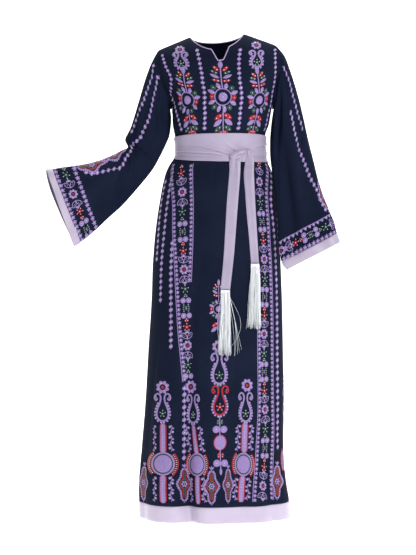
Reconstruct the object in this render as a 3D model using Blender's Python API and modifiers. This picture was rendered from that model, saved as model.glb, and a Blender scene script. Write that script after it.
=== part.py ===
"""Full-length embroidered dress in its worn form, with a tied sash and two tassels.

Metres, +Z up, +X to the viewer's right, -Y towards the viewer.  The origin is the middle of the
shoulder line, where the shoulders carry the dress.  The hem hangs 1.42 m below it.
"""
import math

import bmesh
import bpy
import numpy as np

# Walls and seams
WALL = 0.0020
SEAM_GAP = 0.0007
SATIN_WALL = 0.0018

# Lengths measured down from the shoulder line
HEM_Z = -1.420
HEM_BAND_TOP_Z = -1.374
SHARED_ROWS_TOP_Z = -0.270
UNDERARM_Z = -0.215

# Neck and shoulders
NECK_ANGLE = 24.0
SHOULDER_ANGLE = 60.0
NECK_HALF_WIDTH = 0.083
SHOULDER_TILT = 0.06
SHOULDER_SLOPE_LEFT = 0.35
SHOULDER_SLOPE_RIGHT = 0.41
SHOULDER_ROUNDING = 0.078
FRONT_NECK_DEPTH = 0.052
BACK_NECK_DEPTH = 0.014
NOTCH_DEPTH = 0.034
NOTCH_ANGLES = (0.0, 5.0)
NECK_CURVE = 0.75
ARMHOLE_CURVE = 1.9
ARMHOLE_INSET = 0.0005
SEAM_STEPS = 12
NECK_HOLE_CENTRE = (0.0, -0.01, 0.055)
BINDING_RADIUS = 0.0016
BINDING_GAP = 0.0005

# Columns of the two body panels, one each six degrees, drawn in at the notch in front
COLUMN_STEP = 6.0
COLUMNS = 30
NOTCH_COLUMNS = {-6.0: -5.0, 6.0: 5.0, 12.0: 10.5}
UPPER_ROWS = 6
SHOULDER_ROW_CROWDING = 2.5
UNDERARM_ROW_CROWDING = 1.2
SHARED_ROWS = (-0.270, -0.300, -0.330, -0.365, -0.400, -0.450, -0.520, -0.610, -0.710,
               -0.830, -0.960, -1.090, -1.220, -1.310)

# Body of the dress by height: centre, half width, depth in front and depth behind
BODY_COLUMNS = ("z", "centre", "half_width", "front", "back")
BODY_ROWS = (
    (0.010, 0.000, 0.196, 0.088, 0.088),
    (-0.050, 0.001, 0.195, 0.094, 0.100),
    (-0.100, 0.004, 0.186, 0.107, 0.111),
    (-0.140, 0.009, 0.172, 0.118, 0.114),
    (-0.190, 0.017, 0.151, 0.125, 0.112),
    (-0.226, 0.0145, 0.146, 0.123, 0.106),
    (-0.263, 0.0119, 0.142, 0.113, 0.100),
    (-0.290, 0.0096, 0.1345, 0.104, 0.096),
    (-0.325, 0.0111, 0.1300, 0.100, 0.094),
    (-0.354, 0.0104, 0.1320, 0.100, 0.096),
    (-0.378, 0.0074, 0.1450, 0.105, 0.102),
    (-0.396, 0.0067, 0.1540, 0.110, 0.108),
    (-0.431, 0.0060, 0.1636, 0.117, 0.118),
    (-0.485, 0.0045, 0.1725, 0.122, 0.128),
    (-0.556, 0.0027, 0.1816, 0.127, 0.136),
    (-0.662, 0.0000, 0.1887, 0.131, 0.141),
    (-0.781, 0.0000, 0.1931, 0.135, 0.145),
    (-0.929, -0.0030, 0.1990, 0.141, 0.151),
    (-1.077, -0.0060, 0.2043, 0.147, 0.158),
    (-1.225, -0.0126, 0.2096, 0.153, 0.165),
    (-1.313, -0.0127, 0.2168, 0.156, 0.170),
    (-1.373, -0.0081, 0.2220, 0.158, 0.173),
    (-1.430, -0.0045, 0.2245, 0.160, 0.176),
)
SECTION_POWER = 0.92

# Lengthwise folds of the skirt: where each starts, its angle there and at the hem, its half
# width in degrees, and how far it stands out (or in, below zero) at the hem
FOLD_GROWTH = 1.3
FOLD_COLUMNS = ("start_z", "top_angle", "hem_angle", "spread", "reach")
FRONT_FOLDS = (
    (-0.560, -27.0, -20.0, 6.5, -0.034),
    (-0.600, -46.0, -43.0, 16.0, 0.014),
    (-0.520, -8.0, -4.0, 10.0, 0.006),
    (-0.700, 16.0, 21.0, 7.0, -0.006),
    (-0.640, 32.0, 35.0, 8.0, 0.006),
    (-0.720, 48.0, 51.0, 7.0, -0.008),
    (-0.840, -70.0, -69.0, 8.0, -0.006),
)
BACK_FOLDS = (
    (-0.560, -62.0, -60.0, 9.0, -0.009),
    (-0.620, -42.0, -44.0, 10.0, 0.009),
    (-0.560, -24.0, -25.0, 7.0, -0.018),
    (-0.600, -6.0, -5.0, 9.0, 0.009),
    (-0.540, 13.0, 15.0, 7.0, -0.015),
    (-0.660, 32.0, 34.0, 9.0, 0.008),
    (-0.620, 52.0, 54.0, 8.0, -0.011),
)

# Sleeve stations from the armhole to the cuff.  The upper edge runs over the arm and the lower
# edge is the hanging underside; the girth columns are half the thickness near each edge, and the
# far wall reaches past the near one by the flare.
SLEEVE_COLUMNS = ("top_x", "top_y", "top_z", "low_x", "low_y", "low_z",
                  "top_girth", "low_girth", "flare")
LEFT_SLEEVE = (
    (-0.1930, 0.000, -0.079, -0.1345, 0.000, -0.240, 0.056, 0.036, 0.000),
    (-0.2120, 0.000, -0.129, -0.1360, 0.000, -0.268, 0.056, 0.032, 0.000),
    (-0.2330, 0.000, -0.200, -0.1405, -0.002, -0.296, 0.053, 0.030, 0.000),
    (-0.2538, -0.002, -0.268, -0.1510, -0.006, -0.322, 0.050, 0.028, 0.000),
    (-0.2710, -0.006, -0.306, -0.1650, -0.012, -0.352, 0.048, 0.026, 0.000),
    (-0.2625, -0.016, -0.329, -0.1907, -0.020, -0.398, 0.042, 0.024, 0.000),
    (-0.2825, -0.032, -0.342, -0.2310, -0.030, -0.449, 0.044, 0.022, 0.000),
    (-0.3240, -0.052, -0.364, -0.2780, -0.042, -0.503, 0.043, 0.020, 0.003),
    (-0.3700, -0.068, -0.380, -0.3160, -0.052, -0.538, 0.042, 0.019, 0.007),
    (-0.4130, -0.080, -0.388, -0.3480, -0.060, -0.569, 0.042, 0.018, 0.012),
    (-0.4760, -0.092, -0.398, -0.3960, -0.068, -0.610, 0.043, 0.018, 0.018),
)
LEFT_CUFF = (-0.4950, -0.095, -0.399, -0.4170, -0.070, -0.624, 0.043, 0.018, 0.020)
RIGHT_SLEEVE = (
    (0.1991, 0.000, -0.056, 0.1640, 0.000, -0.240, 0.056, 0.036, 0.000),
    (0.2168, 0.000, -0.100, 0.1600, -0.004, -0.270, 0.056, 0.032, 0.000),
    (0.2375, 0.000, -0.165, 0.1570, -0.012, -0.311, 0.053, 0.030, 0.000),
    (0.2553, -0.002, -0.236, 0.1570, -0.026, -0.357, 0.050, 0.026, 0.000),
    (0.2701, -0.010, -0.307, 0.1615, -0.046, -0.406, 0.048, 0.022, 0.000),
    (0.2840, -0.024, -0.366, 0.1668, -0.060, -0.458, 0.046, 0.019, 0.000),
    (0.3035, -0.040, -0.449, 0.1735, -0.069, -0.516, 0.045, 0.017, 0.000),
    (0.3260, -0.055, -0.511, 0.1775, -0.076, -0.568, 0.044, 0.016, 0.000),
    (0.3410, -0.066, -0.549, 0.1790, -0.082, -0.608, 0.044, 0.016, 0.000),
    (0.3500, -0.074, -0.584, 0.1882, -0.087, -0.6677, 0.045, 0.016, 0.000),
)
RIGHT_CUFF = (0.3596, -0.078, -0.6111, 0.2035, -0.089, -0.6915, 0.045, 0.016, 0.000)
SLEEVE_POINTS = 20
SLEEVE_START = 0.0009
SLEEVE_LEDGE = 0.0045
UNDERARM_SHARE = (0.12, 0.35)
SLEEVE_TROUGHS = ((62.0, 16.0, 0.007), (118.0, 14.0, 0.006), (248.0, 16.0, 0.006),
                  (296.0, 15.0, 0.007))

# Sash
# Edges of the sash by the angle in front; behind, they run straight from side to side
SASH_EDGE_COLUMNS = ("angle", "top", "low")
SASH_EDGES = (
    (-90.0, -0.3017, -0.3600),
    (-60.0, -0.2992, -0.3685),
    (-30.0, -0.2970, -0.3745),
    (0.0, -0.2960, -0.3770),
    (45.0, -0.2955, -0.3770),
    (90.0, -0.2965, -0.3735),
)
SASH_SHARES = (0.0, 0.26, 0.53, 0.80, 1.0)
SASH_CREASES = (0.0, 0.0010, 0.0002, 0.0010, 0.0)
SASH_TOP_Z = max(top for _, top, _ in SASH_EDGES)
SASH_LOW_Z = min(low for _, _, low in SASH_EDGES)
OUTER_TURN_ROWS = 4
OUTER_TURN_LOW_Z = SASH_TOP_Z + (SASH_LOW_Z - SASH_TOP_Z) * SASH_SHARES[OUTER_TURN_ROWS - 1]
SASH_STAND_OFF = 0.0012
SASH_TURN_GAP = 0.0006
SASH_COLUMN_STEP = 12.0
SASH_DEPTH = 0.0064
INNER_TURN_DEPTH = 0.0040
SASH_EDGE_CLEARANCE = 0.003
KNOT_CENTRE = (0.0660, -0.357)
KNOT_SIZE = (0.046, 0.018, 0.026)
KNOT_GAP = 0.0003
KNOT_SEAT = 0.23
KNOT_FULLNESS = (1.25, 0.50)

# Tails of the sash: height, middle and width
TAIL_COLUMNS = ("z", "x", "width")
LEFT_TAIL = (
    (-0.3530, 0.0600, 0.0240),
    (-0.3690, 0.0542, 0.0308),
    (-0.4075, 0.0519, 0.0319),
    (-0.4956, 0.0447, 0.0325),
    (-0.5700, 0.0396, 0.0312),
    (-0.6426, 0.0347, 0.0297),
    (-0.7499, 0.0238, 0.0275),
)
RIGHT_TAIL = (
    (-0.3420, 0.0895, 0.0170),
    (-0.3650, 0.0940, 0.0240),
    (-0.4133, 0.0925, 0.0297),
    (-0.4749, 0.0960, 0.0280),
    (-0.5266, 0.0990, 0.0271),
    (-0.5782, 0.1031, 0.0250),
    (-0.6740, 0.1100, 0.0230),
)
TAIL_THICKNESS = 0.0026
HANG_STEP = 0.008
TAIL_CLEARANCE = 0.0009
TAIL_COLUMNS_ACROSS = 4
TAIL_CREASE = 0.0008
TAIL_ROWS = 10

# Tassels
TASSEL_HEAD = (0.0245, 0.0078, 0.0100)
TASSEL_LENGTH = 0.185
TASSEL_ACROSS = 12
TASSEL_DEEP = 3
TASSEL_SPREAD = 1.35
LOCK_PARTING = 0.0003
LOCK_STEPS = (0.30, 0.68, 1.0)
LOCK_SHORTENING = 0.035
LOCK_SWAY = 0.0016
TASSEL_CLEARANCE = 0.0011


def clear_scene():
    for obj in list(bpy.data.objects):
        bpy.data.objects.remove(obj, do_unlink=True)


def principled(name, colour, roughness):
    material = bpy.data.materials.new(name)
    material.use_nodes = True
    shader = material.node_tree.nodes["Principled BSDF"]
    shader.inputs["Base Color"].default_value = (*colour, 1.0)
    shader.inputs["Roughness"].default_value = roughness
    shader.inputs["Metallic"].default_value = 0.0
    return material


def table_value(rows, columns, name, at):
    """Smooth value of one named column of a table whose first column falls down the rows."""
    table = np.array(rows, dtype=float)
    keys = -table[:, 0]
    values = table[:, columns.index(name)]
    slopes = np.gradient(values, keys)
    place = min(max(-at, keys[0]), keys[-1])
    index = int(min(np.searchsorted(keys, place, side="right") - 1, len(keys) - 2))
    span = keys[index + 1] - keys[index]
    t = (place - keys[index]) / span
    start_weight = 2.0 * t ** 3 - 3.0 * t ** 2 + 1.0
    end_weight = -2.0 * t ** 3 + 3.0 * t ** 2
    start_slope = (t ** 3 - 2.0 * t ** 2 + t) * span
    end_slope = (t ** 3 - t ** 2) * span
    return (start_weight * values[index] + end_weight * values[index + 1]
            + start_slope * slopes[index] + end_slope * slopes[index + 1])


def shoulder_height(x):
    slope = SHOULDER_SLOPE_LEFT if x < 0.0 else SHOULDER_SLOPE_RIGHT
    return SHOULDER_TILT * x - slope * max(0.0, abs(x) - NECK_HALF_WIDTH)


def fold_reach(folds, angle, z):
    """How far the skirt's folds push the wall out at one angle and height."""
    reach = 0.0
    for row in folds:
        fold = dict(zip(FOLD_COLUMNS, row))
        run = (fold["start_z"] - z) / (fold["start_z"] - HEM_Z)
        if run <= 0.0:
            continue
        centre = fold["top_angle"] + (fold["hem_angle"] - fold["top_angle"]) * run
        bump = math.exp(-((angle - centre) / fold["spread"]) ** 2)
        reach += fold["reach"] * run ** FOLD_GROWTH * bump
    return reach


def body_point(side, angle, z):
    """Outer point of the dress: side is -1 in front and +1 behind, angle 0 is the middle."""
    centre = table_value(BODY_ROWS, BODY_COLUMNS, "centre", z)
    half_width = table_value(BODY_ROWS, BODY_COLUMNS, "half_width", z)
    depth = table_value(BODY_ROWS, BODY_COLUMNS, "front" if side < 0 else "back", z)
    folds = FRONT_FOLDS if side < 0 else BACK_FOLDS
    turn = math.radians(angle)
    across = math.sin(turn)
    ahead = max(0.0, math.cos(turn)) ** SECTION_POWER
    x = centre + half_width * across
    drop = (shoulder_height(x) - z) / SHOULDER_ROUNDING
    drop = min(max(drop, 0.0), 1.0)
    rounding = math.sqrt(1.0 - (1.0 - drop) ** 2)
    normal = np.array([across / half_width, side * max(0.0, math.cos(turn)) / depth])
    normal /= np.linalg.norm(normal)
    reach = fold_reach(folds, angle, z)
    y = side * depth * ahead * rounding
    return np.array([x + normal[0] * reach, y + normal[1] * reach + side * SEAM_GAP / 2.0, z])


def seam_height(side, angle):
    """Height at which one column meets the shoulder line."""
    height = 0.0
    for _ in range(SEAM_STEPS):
        height = shoulder_height(body_point(side, angle, height)[0])
    return height


def top_height(side, angle):
    """Height of a panel's upper edge: neckline, shoulder seam or armhole."""
    size = abs(angle)
    if size <= NECK_ANGLE:
        depth = FRONT_NECK_DEPTH if side < 0 else BACK_NECK_DEPTH
        scoop = max(0.0, 1.0 - (size / NECK_ANGLE) ** 2) ** NECK_CURVE
        height = seam_height(side, angle) - depth * scoop
        if side < 0 and NOTCH_ANGLES[0] <= angle <= NOTCH_ANGLES[1]:
            height -= NOTCH_DEPTH
        return height
    if size <= SHOULDER_ANGLE:
        return seam_height(side, angle)
    tip = seam_height(side, math.copysign(SHOULDER_ANGLE, angle))
    run = (size - SHOULDER_ANGLE) / (90.0 - SHOULDER_ANGLE)
    return UNDERARM_Z + (tip - UNDERARM_Z) * (1.0 - run) ** ARMHOLE_CURVE


def column_angles(side):
    angles = [-90.0 + COLUMN_STEP * j for j in range(COLUMNS + 1)]
    if side > 0:
        return angles
    return [NOTCH_COLUMNS.get(angle, angle) for angle in angles]


def panel_grid(side, rows_below):
    """Rows of points of one panel, from its upper edge down through the given heights."""
    columns = []
    for angle in column_angles(side):
        top = top_height(side, angle)
        past_shoulder = max(0.0, abs(angle) - SHOULDER_ANGLE) / (90.0 - SHOULDER_ANGLE)
        crowding = (SHOULDER_ROW_CROWDING
                    + (UNDERARM_ROW_CROWDING - SHOULDER_ROW_CROWDING) * past_shoulder)
        column = []
        for i in range(UPPER_ROWS):
            run = (i / UPPER_ROWS) ** crowding
            column.append(body_point(side, angle, top + (SHARED_ROWS_TOP_Z - top) * run))
        for z in rows_below:
            column.append(body_point(side, angle, z))
        columns.append(column)
    return np.array(columns).transpose(1, 0, 2)


def band_grid(side, heights):
    angles = column_angles(side)
    return np.array([[body_point(side, angle, z) for angle in angles] for z in heights])


def surface_object(name, grid, material, thickness, collection, closed=False, flip=False):
    """Open surface through a grid of points, given its thickness inwards by Solidify."""
    rows, columns = grid.shape[0], grid.shape[1]
    surface = bmesh.new()
    points = [[surface.verts.new(grid[i, j]) for j in range(columns)] for i in range(rows)]
    last = columns if closed else columns - 1
    for i in range(rows - 1):
        for j in range(last):
            after = (j + 1) % columns
            corners = [points[i][j], points[i + 1][j], points[i + 1][after], points[i][after]]
            if flip:
                corners.reverse()
            surface.faces.new(corners)
    mesh = bpy.data.meshes.new(name)
    surface.to_mesh(mesh)
    surface.free()
    mesh.shade_smooth()
    obj = bpy.data.objects.new(name, mesh)
    obj.data.materials.append(material)
    collection.objects.link(obj)
    wall = obj.modifiers.new("Wall", "SOLIDIFY")
    wall.thickness = thickness
    wall.offset = -1.0
    return obj


def surface_frame(side, angle, z):
    """Outer point with the outward normal of the surface there."""
    step_angle, step_z = 1.0, 0.004
    point = body_point(side, angle, z)
    across = body_point(side, angle + step_angle, z) - body_point(side, angle - step_angle, z)
    down = body_point(side, angle, z - step_z) - body_point(side, angle, z)
    normal = np.cross(down, across) * -side
    return point, normal / np.linalg.norm(normal)


def armhole_points(side, x_sign):
    """Armhole edge of one panel from shoulder tip to underarm, with the way out across it."""
    count = SLEEVE_POINTS // 4
    edge = []
    for k in range(count + 1):
        angle = x_sign * (SHOULDER_ANGLE + (90.0 - SHOULDER_ANGLE) * k / count)
        edge.append(surface_frame(side, angle, top_height(side, angle) - ARMHOLE_INSET))
    ways = []
    for k, (point, normal) in enumerate(edge):
        run = edge[min(k + 1, count)][0] - edge[max(k - 1, 0)][0]
        way = np.cross(run, normal)
        way /= np.linalg.norm(way)
        if way[0] * x_sign + way[2] < 0.0:
            way = -way
        ways.append((point, way))
    return ways


def armhole_rings(x_sign):
    """First two rings of a sleeve: on the armhole, then a short way on across the seam."""
    front = armhole_points(-1, x_sign)
    back = armhole_points(1, x_sign)
    coarse = [(f[0], f[1]) for f in front] + [(b[0], b[1]) for b in back[-2:0:-1]]
    for end, index in ((0, 0), (-1, len(front) - 1)):
        coarse[index] = ((front[end][0] + back[end][0]) / 2.0,
                         (front[end][1] + back[end][1]) / 2.0)
    top_z, low_z = coarse[0][0][2], coarse[len(front) - 1][0][2]
    side_way = np.array([x_sign, 0.0, 0.0])
    on_seam, past_seam = [], []
    for k, (point, way) in enumerate(coarse):
        after_point, after_way = coarse[(k + 1) % len(coarse)]
        for place, out in ((point, way), ((point + after_point) / 2.0, (way + after_way) / 2.0)):
            height = (place[2] - low_z) / (top_z - low_z)
            share = min(max((height - UNDERARM_SHARE[0]) / UNDERARM_SHARE[1], 0.0), 1.0)
            step = out * share + side_way * (1.0 - share)
            step /= np.linalg.norm(step)
            on_seam.append(place + step * SLEEVE_START)
            past_seam.append(place + step * (SLEEVE_START + SLEEVE_LEDGE))
    return [np.array(on_seam), np.array(past_seam)]


def sleeve_ring(station):
    """One section of a hanging sleeve: round over the arm, narrow along the underside."""
    row = dict(zip(SLEEVE_COLUMNS, station))
    top = np.array([row["top_x"], row["top_y"], row["top_z"]])
    low = np.array([row["low_x"], row["low_y"], row["low_z"]])
    middle = (top + low) / 2.0
    reach = (top - low) / 2.0
    outward = np.array([math.copysign(1.0, row["top_x"]), 0.0, -1.0]) / math.sqrt(2.0)
    ring = []
    for k in range(SLEEVE_POINTS):
        turn = 2.0 * math.pi * k / SLEEVE_POINTS
        lift = math.cos(turn)
        girth = row["top_girth"] * (1.0 + lift) / 2.0 + row["low_girth"] * (1.0 - lift) / 2.0
        for angle, spread, depth in SLEEVE_TROUGHS:
            girth -= depth * math.exp(-((math.degrees(turn) - angle) / spread) ** 2)
        away = math.sin(turn) * girth
        point = middle + reach * lift + np.array([0.0, -away, 0.0])
        ring.append(point + outward * row["flare"] * max(0.0, -math.sin(turn)) * (1.0 + lift) / 2.0)
    return np.array(ring)


def build_panels(collection, cloth, satin):
    for side, word in ((-1, "front"), (1, "back")):
        seam_z = HEM_BAND_TOP_Z + SEAM_GAP
        grid = panel_grid(side, SHARED_ROWS + (seam_z,))
        surface_object(word + "_panel", grid, cloth, WALL, collection, flip=side > 0)
        band = band_grid(side, (HEM_BAND_TOP_Z, HEM_Z))
        surface_object("hem_band_" + word, band, satin, WALL, collection, flip=side > 0)


def build_sleeves(collection, cloth, satin):
    for word, sign, stations, cuff in (("left", -1.0, LEFT_SLEEVE, LEFT_CUFF),
                                       ("right", 1.0, RIGHT_SLEEVE, RIGHT_CUFF)):
        rings = armhole_rings(sign) + [sleeve_ring(row) for row in stations]
        grid = np.array(rings)
        end = sleeve_ring(cuff)
        step = end - grid[-1]
        step /= np.linalg.norm(step, axis=1, keepdims=True)
        start = grid[-1] + step * SEAM_GAP
        surface_object("sleeve_" + word, grid, cloth, WALL, collection,
                       closed=True, flip=sign < 0)
        surface_object("cuff_band_" + word, np.array([start, end]), satin, WALL, collection,
                       closed=True, flip=sign < 0)


def neck_edge():
    """Neckline points once round, with the surface normal at each."""
    edge = []
    for side, direction in ((-1, 1.0), (1, -1.0)):
        inside = [a for a in column_angles(side) if abs(a) <= NECK_ANGLE]
        for angle in (inside if direction > 0.0 else inside[::-1])[:-1]:
            top = top_height(side, angle)
            point = body_point(side, angle, top)
            below = body_point(side, angle, top - 0.004)
            beside = body_point(side, angle + 0.5, top)
            normal = np.cross(point - below, beside - point) * side
            edge.append((point, normal / np.linalg.norm(normal)))
    return edge


def build_binding(collection, satin):
    """Piping that follows the cut edge of the neck, clear of it by the seam gap."""
    edge = neck_edge()
    count = len(edge)
    hole = np.array(NECK_HOLE_CENTRE)
    inward = []
    for k in range(count):
        run = edge[(k + 1) % count][0] - edge[k][0]
        run /= np.linalg.norm(run)
        normal = edge[k][1] + edge[(k + 1) % count][1]
        across = np.cross(run, normal)
        across /= np.linalg.norm(across)
        if np.dot(across, hole - edge[k][0]) < 0.0:
            across = -across
        inward.append(across)
    reach = BINDING_RADIUS + BINDING_GAP
    curve = bpy.data.curves.new("neck_binding", "CURVE")
    curve.dimensions = "3D"
    curve.bevel_depth = BINDING_RADIUS
    curve.bevel_resolution = 1
    spline = curve.splines.new("POLY")
    spline.points.add(count - 1)
    for k in range(count):
        before, after = inward[k - 1], inward[k]
        miter = (before + after) / (1.0 + max(-0.4, float(np.dot(before, after))))
        point = edge[k][0] + miter * reach - edge[k][1] * WALL / 2.0
        spline.points[k].co = (*point, 1.0)
    spline.use_cyclic_u = True
    obj = bpy.data.objects.new("neck_binding", curve)
    obj.data.materials.append(satin)
    collection.objects.link(obj)


def sash_edge(name, side, angle):
    """Height of the sash's top or low edge at one angle."""
    angles = [row[0] for row in SASH_EDGES]
    heights = [row[SASH_EDGE_COLUMNS.index(name)] for row in SASH_EDGES]
    if side > 0:
        angles, heights = [angles[0], angles[-1]], [heights[0], heights[-1]]
    return float(np.interp(angle, angles, heights))


def waist_ring(share, reach):
    """Ring round the waist, a share of the way from the sash's top edge to its low edge."""
    ring = []
    per_side = int(180.0 / SASH_COLUMN_STEP)
    for side, direction in ((-1, 1.0), (1, -1.0)):
        for k in range(per_side):
            angle = direction * (-90.0 + SASH_COLUMN_STEP * k)
            top, low = sash_edge("top", side, angle), sash_edge("low", side, angle)
            ring.append(column_point(side, angle, top + (low - top) * share))
    points = np.array(ring)
    along = np.roll(points, -1, axis=0) - np.roll(points, 1, axis=0)
    normals = np.stack([along[:, 1], -along[:, 0], np.zeros(len(points))], axis=1)
    normals /= np.linalg.norm(normals, axis=1, keepdims=True)
    return points + normals * reach


def column_point(side, angle, z):
    """Point on a panel's faceted column, between the two shared rows round a height."""
    rows = SHARED_ROWS
    index = next(i for i in range(len(rows) - 1) if rows[i + 1] <= z)
    high, low = body_point(side, angle, rows[index]), body_point(side, angle, rows[index + 1])
    return high + (low - high) * (rows[index] - z) / (rows[index] - rows[index + 1])


def sash_turn(name, row_count, stand_off, collection, satin):
    rings = []
    for share, crease in list(zip(SASH_SHARES, SASH_CREASES))[:row_count]:
        rings.append(waist_ring(share, stand_off + SATIN_WALL + crease))
    surface_object(name, np.array(rings), satin, SATIN_WALL, collection, closed=True)


def front_face_y(x, z, half_width):
    """How far forward the dress and sash reach behind a strip of cloth."""
    forward = 0.0
    for part in (-1.0, -0.5, 0.0, 0.5, 1.0):
        centre = table_value(BODY_ROWS, BODY_COLUMNS, "centre", z)
        size = table_value(BODY_ROWS, BODY_COLUMNS, "half_width", z)
        across = (x + part * half_width - centre) / size
        angle = math.degrees(math.asin(max(-1.0, min(1.0, across))))
        forward = min(forward, column_point(-1, angle, z)[1])
    if OUTER_TURN_LOW_Z - SASH_EDGE_CLEARANCE < z < SASH_TOP_Z:
        forward -= SASH_DEPTH
    elif SASH_LOW_Z - SASH_EDGE_CLEARANCE < z < SASH_TOP_Z:
        forward -= INNER_TURN_DEPTH
    return forward


def hanging_face(rows, z):
    """Front face of a tail, which hangs straight down until the skirt pushes it forward."""
    face = 0.0
    height = rows[0][0]
    while height >= z - HANG_STEP:
        middle = table_value(rows, TAIL_COLUMNS, "x", height)
        width = table_value(rows, TAIL_COLUMNS, "width", height)
        face = min(face, front_face_y(middle, height, width / 2.0))
        height -= HANG_STEP
    return face - TAIL_CLEARANCE - TAIL_THICKNESS


def build_tail(name, rows, collection, satin):
    """Flat folded tail: a strip with two soft lengthwise creases."""
    top_z, low_z = rows[0][0], rows[-1][0]
    grid = []
    for i in range(TAIL_ROWS + 1):
        z = top_z + (low_z - top_z) * i / TAIL_ROWS
        middle = table_value(rows, TAIL_COLUMNS, "x", z)
        width = table_value(rows, TAIL_COLUMNS, "width", z)
        face = hanging_face(rows, z)
        line = []
        for j in range(TAIL_COLUMNS_ACROSS + 1):
            across = j / TAIL_COLUMNS_ACROSS - 0.5
            crease = TAIL_CREASE * math.cos(4.0 * math.pi * across)
            line.append((middle + across * width, face - crease, z))
        grid.append(line)
    surface_object(name, np.array(grid), satin, TAIL_THICKNESS, collection)


def build_knot(collection, satin):
    """Soft knot that wraps the tails' start: a rounded cage, waisted in the middle."""
    x, z = KNOT_CENTRE
    low = z - KNOT_SIZE[2] * KNOT_SEAT
    face = min(hanging_face(LEFT_TAIL, low), hanging_face(RIGHT_TAIL, low)) - TAIL_CREASE
    bpy.ops.mesh.primitive_cube_add(size=1.0)
    obj = bpy.context.object
    obj.name = "sash_knot"
    for other in list(obj.users_collection):
        other.objects.unlink(obj)
    collection.objects.link(obj)
    obj.data.materials.append(satin)
    cage = bmesh.new()
    cage.from_mesh(obj.data)
    bmesh.ops.subdivide_edges(cage, edges=cage.edges[:], cuts=1, use_grid_fill=True)
    for vert in cage.verts:
        vert.co.x *= KNOT_SIZE[0]
        vert.co.y *= KNOT_SIZE[1]
        fullness = KNOT_FULLNESS[0] - KNOT_FULLNESS[1] * abs(vert.co.x) / KNOT_SIZE[0]
        vert.co.z *= KNOT_SIZE[2] * fullness
    cage.to_mesh(obj.data)
    cage.free()
    obj.location = (x, face - KNOT_GAP - KNOT_SIZE[1] / 2.0, z)
    round_off = obj.modifiers.new("Round", "SUBSURF")
    round_off.levels = 1
    round_off.render_levels = 1
    obj.data.shade_smooth()


def build_tassel(name, rows, collection, thread):
    """Flat head whose lower face is parted into locks, each drawn down on its own."""
    end_z, middle, _ = rows[-1]
    width, depth, height = TASSEL_HEAD
    head_low = end_z - SEAM_GAP - height
    reach = width / 2.0 * TASSEL_SPREAD
    face = front_face_y(middle, head_low, reach)
    tail_middle = hanging_face(rows, end_z) + TAIL_THICKNESS / 2.0
    centre_y = min(face - TASSEL_CLEARANCE - depth / 2.0, tail_middle)
    shape = bmesh.new()
    bmesh.ops.create_cube(shape, size=1.0)
    for vert in shape.verts:
        vert.co.x = vert.co.x * width + middle
        vert.co.y = vert.co.y * depth + centre_y
        vert.co.z = vert.co.z * height + head_low + height / 2.0
    for cuts, axis in ((TASSEL_ACROSS - 1, 0), (TASSEL_DEEP - 1, 1)):
        low_faces = [f for f in shape.faces if f.normal.z < -0.9]
        edges = {e for f in low_faces for e in f.edges
                 if abs((e.verts[1].co - e.verts[0].co)[axis]) > 0.0005}
        bmesh.ops.subdivide_edges(shape, edges=sorted(edges, key=lambda e: e.index),
                                  cuts=cuts, use_grid_fill=True)
        shape.normal_update()
        shape.edges.index_update()
    locks = [f for f in shape.faces if f.normal.z < -0.9]
    bmesh.ops.inset_individual(shape, faces=locks, thickness=LOCK_PARTING)
    places = [face.calc_center_median().copy() for face in locks]
    for step in LOCK_STEPS:
        drawn = bmesh.ops.extrude_discrete_faces(shape, faces=locks)["faces"]
        for place, lock in zip(places, drawn):
            across = (place.x - middle) / (width / 2.0)
            shorter = 1.0 - LOCK_SHORTENING * (math.sin(place.x * 9000.0 + place.y * 5000.0) + 1.0)
            drop = TASSEL_LENGTH * shorter
            low = head_low - drop * step
            lean = min(0.0, front_face_y(middle, low, reach) - face)
            spread = 1.0 + (TASSEL_SPREAD - 1.0) * step
            sway = LOCK_SWAY * math.sin(5.0 * step + 2.0 * across)
            shift_x = middle + (place.x - middle) * spread + sway
            shift_y = place.y + lean
            centre = lock.calc_center_median()
            for vert in lock.verts:
                vert.co.x += shift_x - centre.x
                vert.co.y += shift_y - centre.y
                vert.co.z = low
        locks = drawn
    mesh = bpy.data.meshes.new(name)
    shape.normal_update()
    shape.to_mesh(mesh)
    shape.free()
    obj = bpy.data.objects.new(name, mesh)
    obj.data.materials.append(thread)
    collection.objects.link(obj)


def main():
    clear_scene()
    dress = bpy.data.collections.new("embroidered_dress")
    bpy.context.scene.collection.children.link(dress)
    cloth = principled("navy_crepe", (0.012, 0.016, 0.040), 0.78)
    satin = principled("lavender_satin", (0.55, 0.45, 0.66), 0.42)
    thread = principled("white_thread", (0.84, 0.86, 0.85), 0.45)
    build_panels(dress, cloth, satin)
    build_sleeves(dress, cloth, satin)
    build_binding(dress, satin)
    sash_turn("sash_inner_turn", len(SASH_SHARES), SASH_STAND_OFF, dress, satin)
    outer_stand_off = SASH_STAND_OFF + SATIN_WALL + SASH_TURN_GAP
    sash_turn("sash_outer_turn", OUTER_TURN_ROWS, outer_stand_off, dress, satin)
    build_knot(dress, satin)
    build_tail("sash_tail_left", LEFT_TAIL, dress, satin)
    build_tail("sash_tail_right", RIGHT_TAIL, dress, satin)
    build_tassel("tassel_left", LEFT_TAIL, dress, thread)
    build_tassel("tassel_right", RIGHT_TAIL, dress, thread)


main()
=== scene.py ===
"""Looks of the embroidered dress: cloth shells with their creases, embroidery, sash and tassels."""
import math
import random

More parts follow.
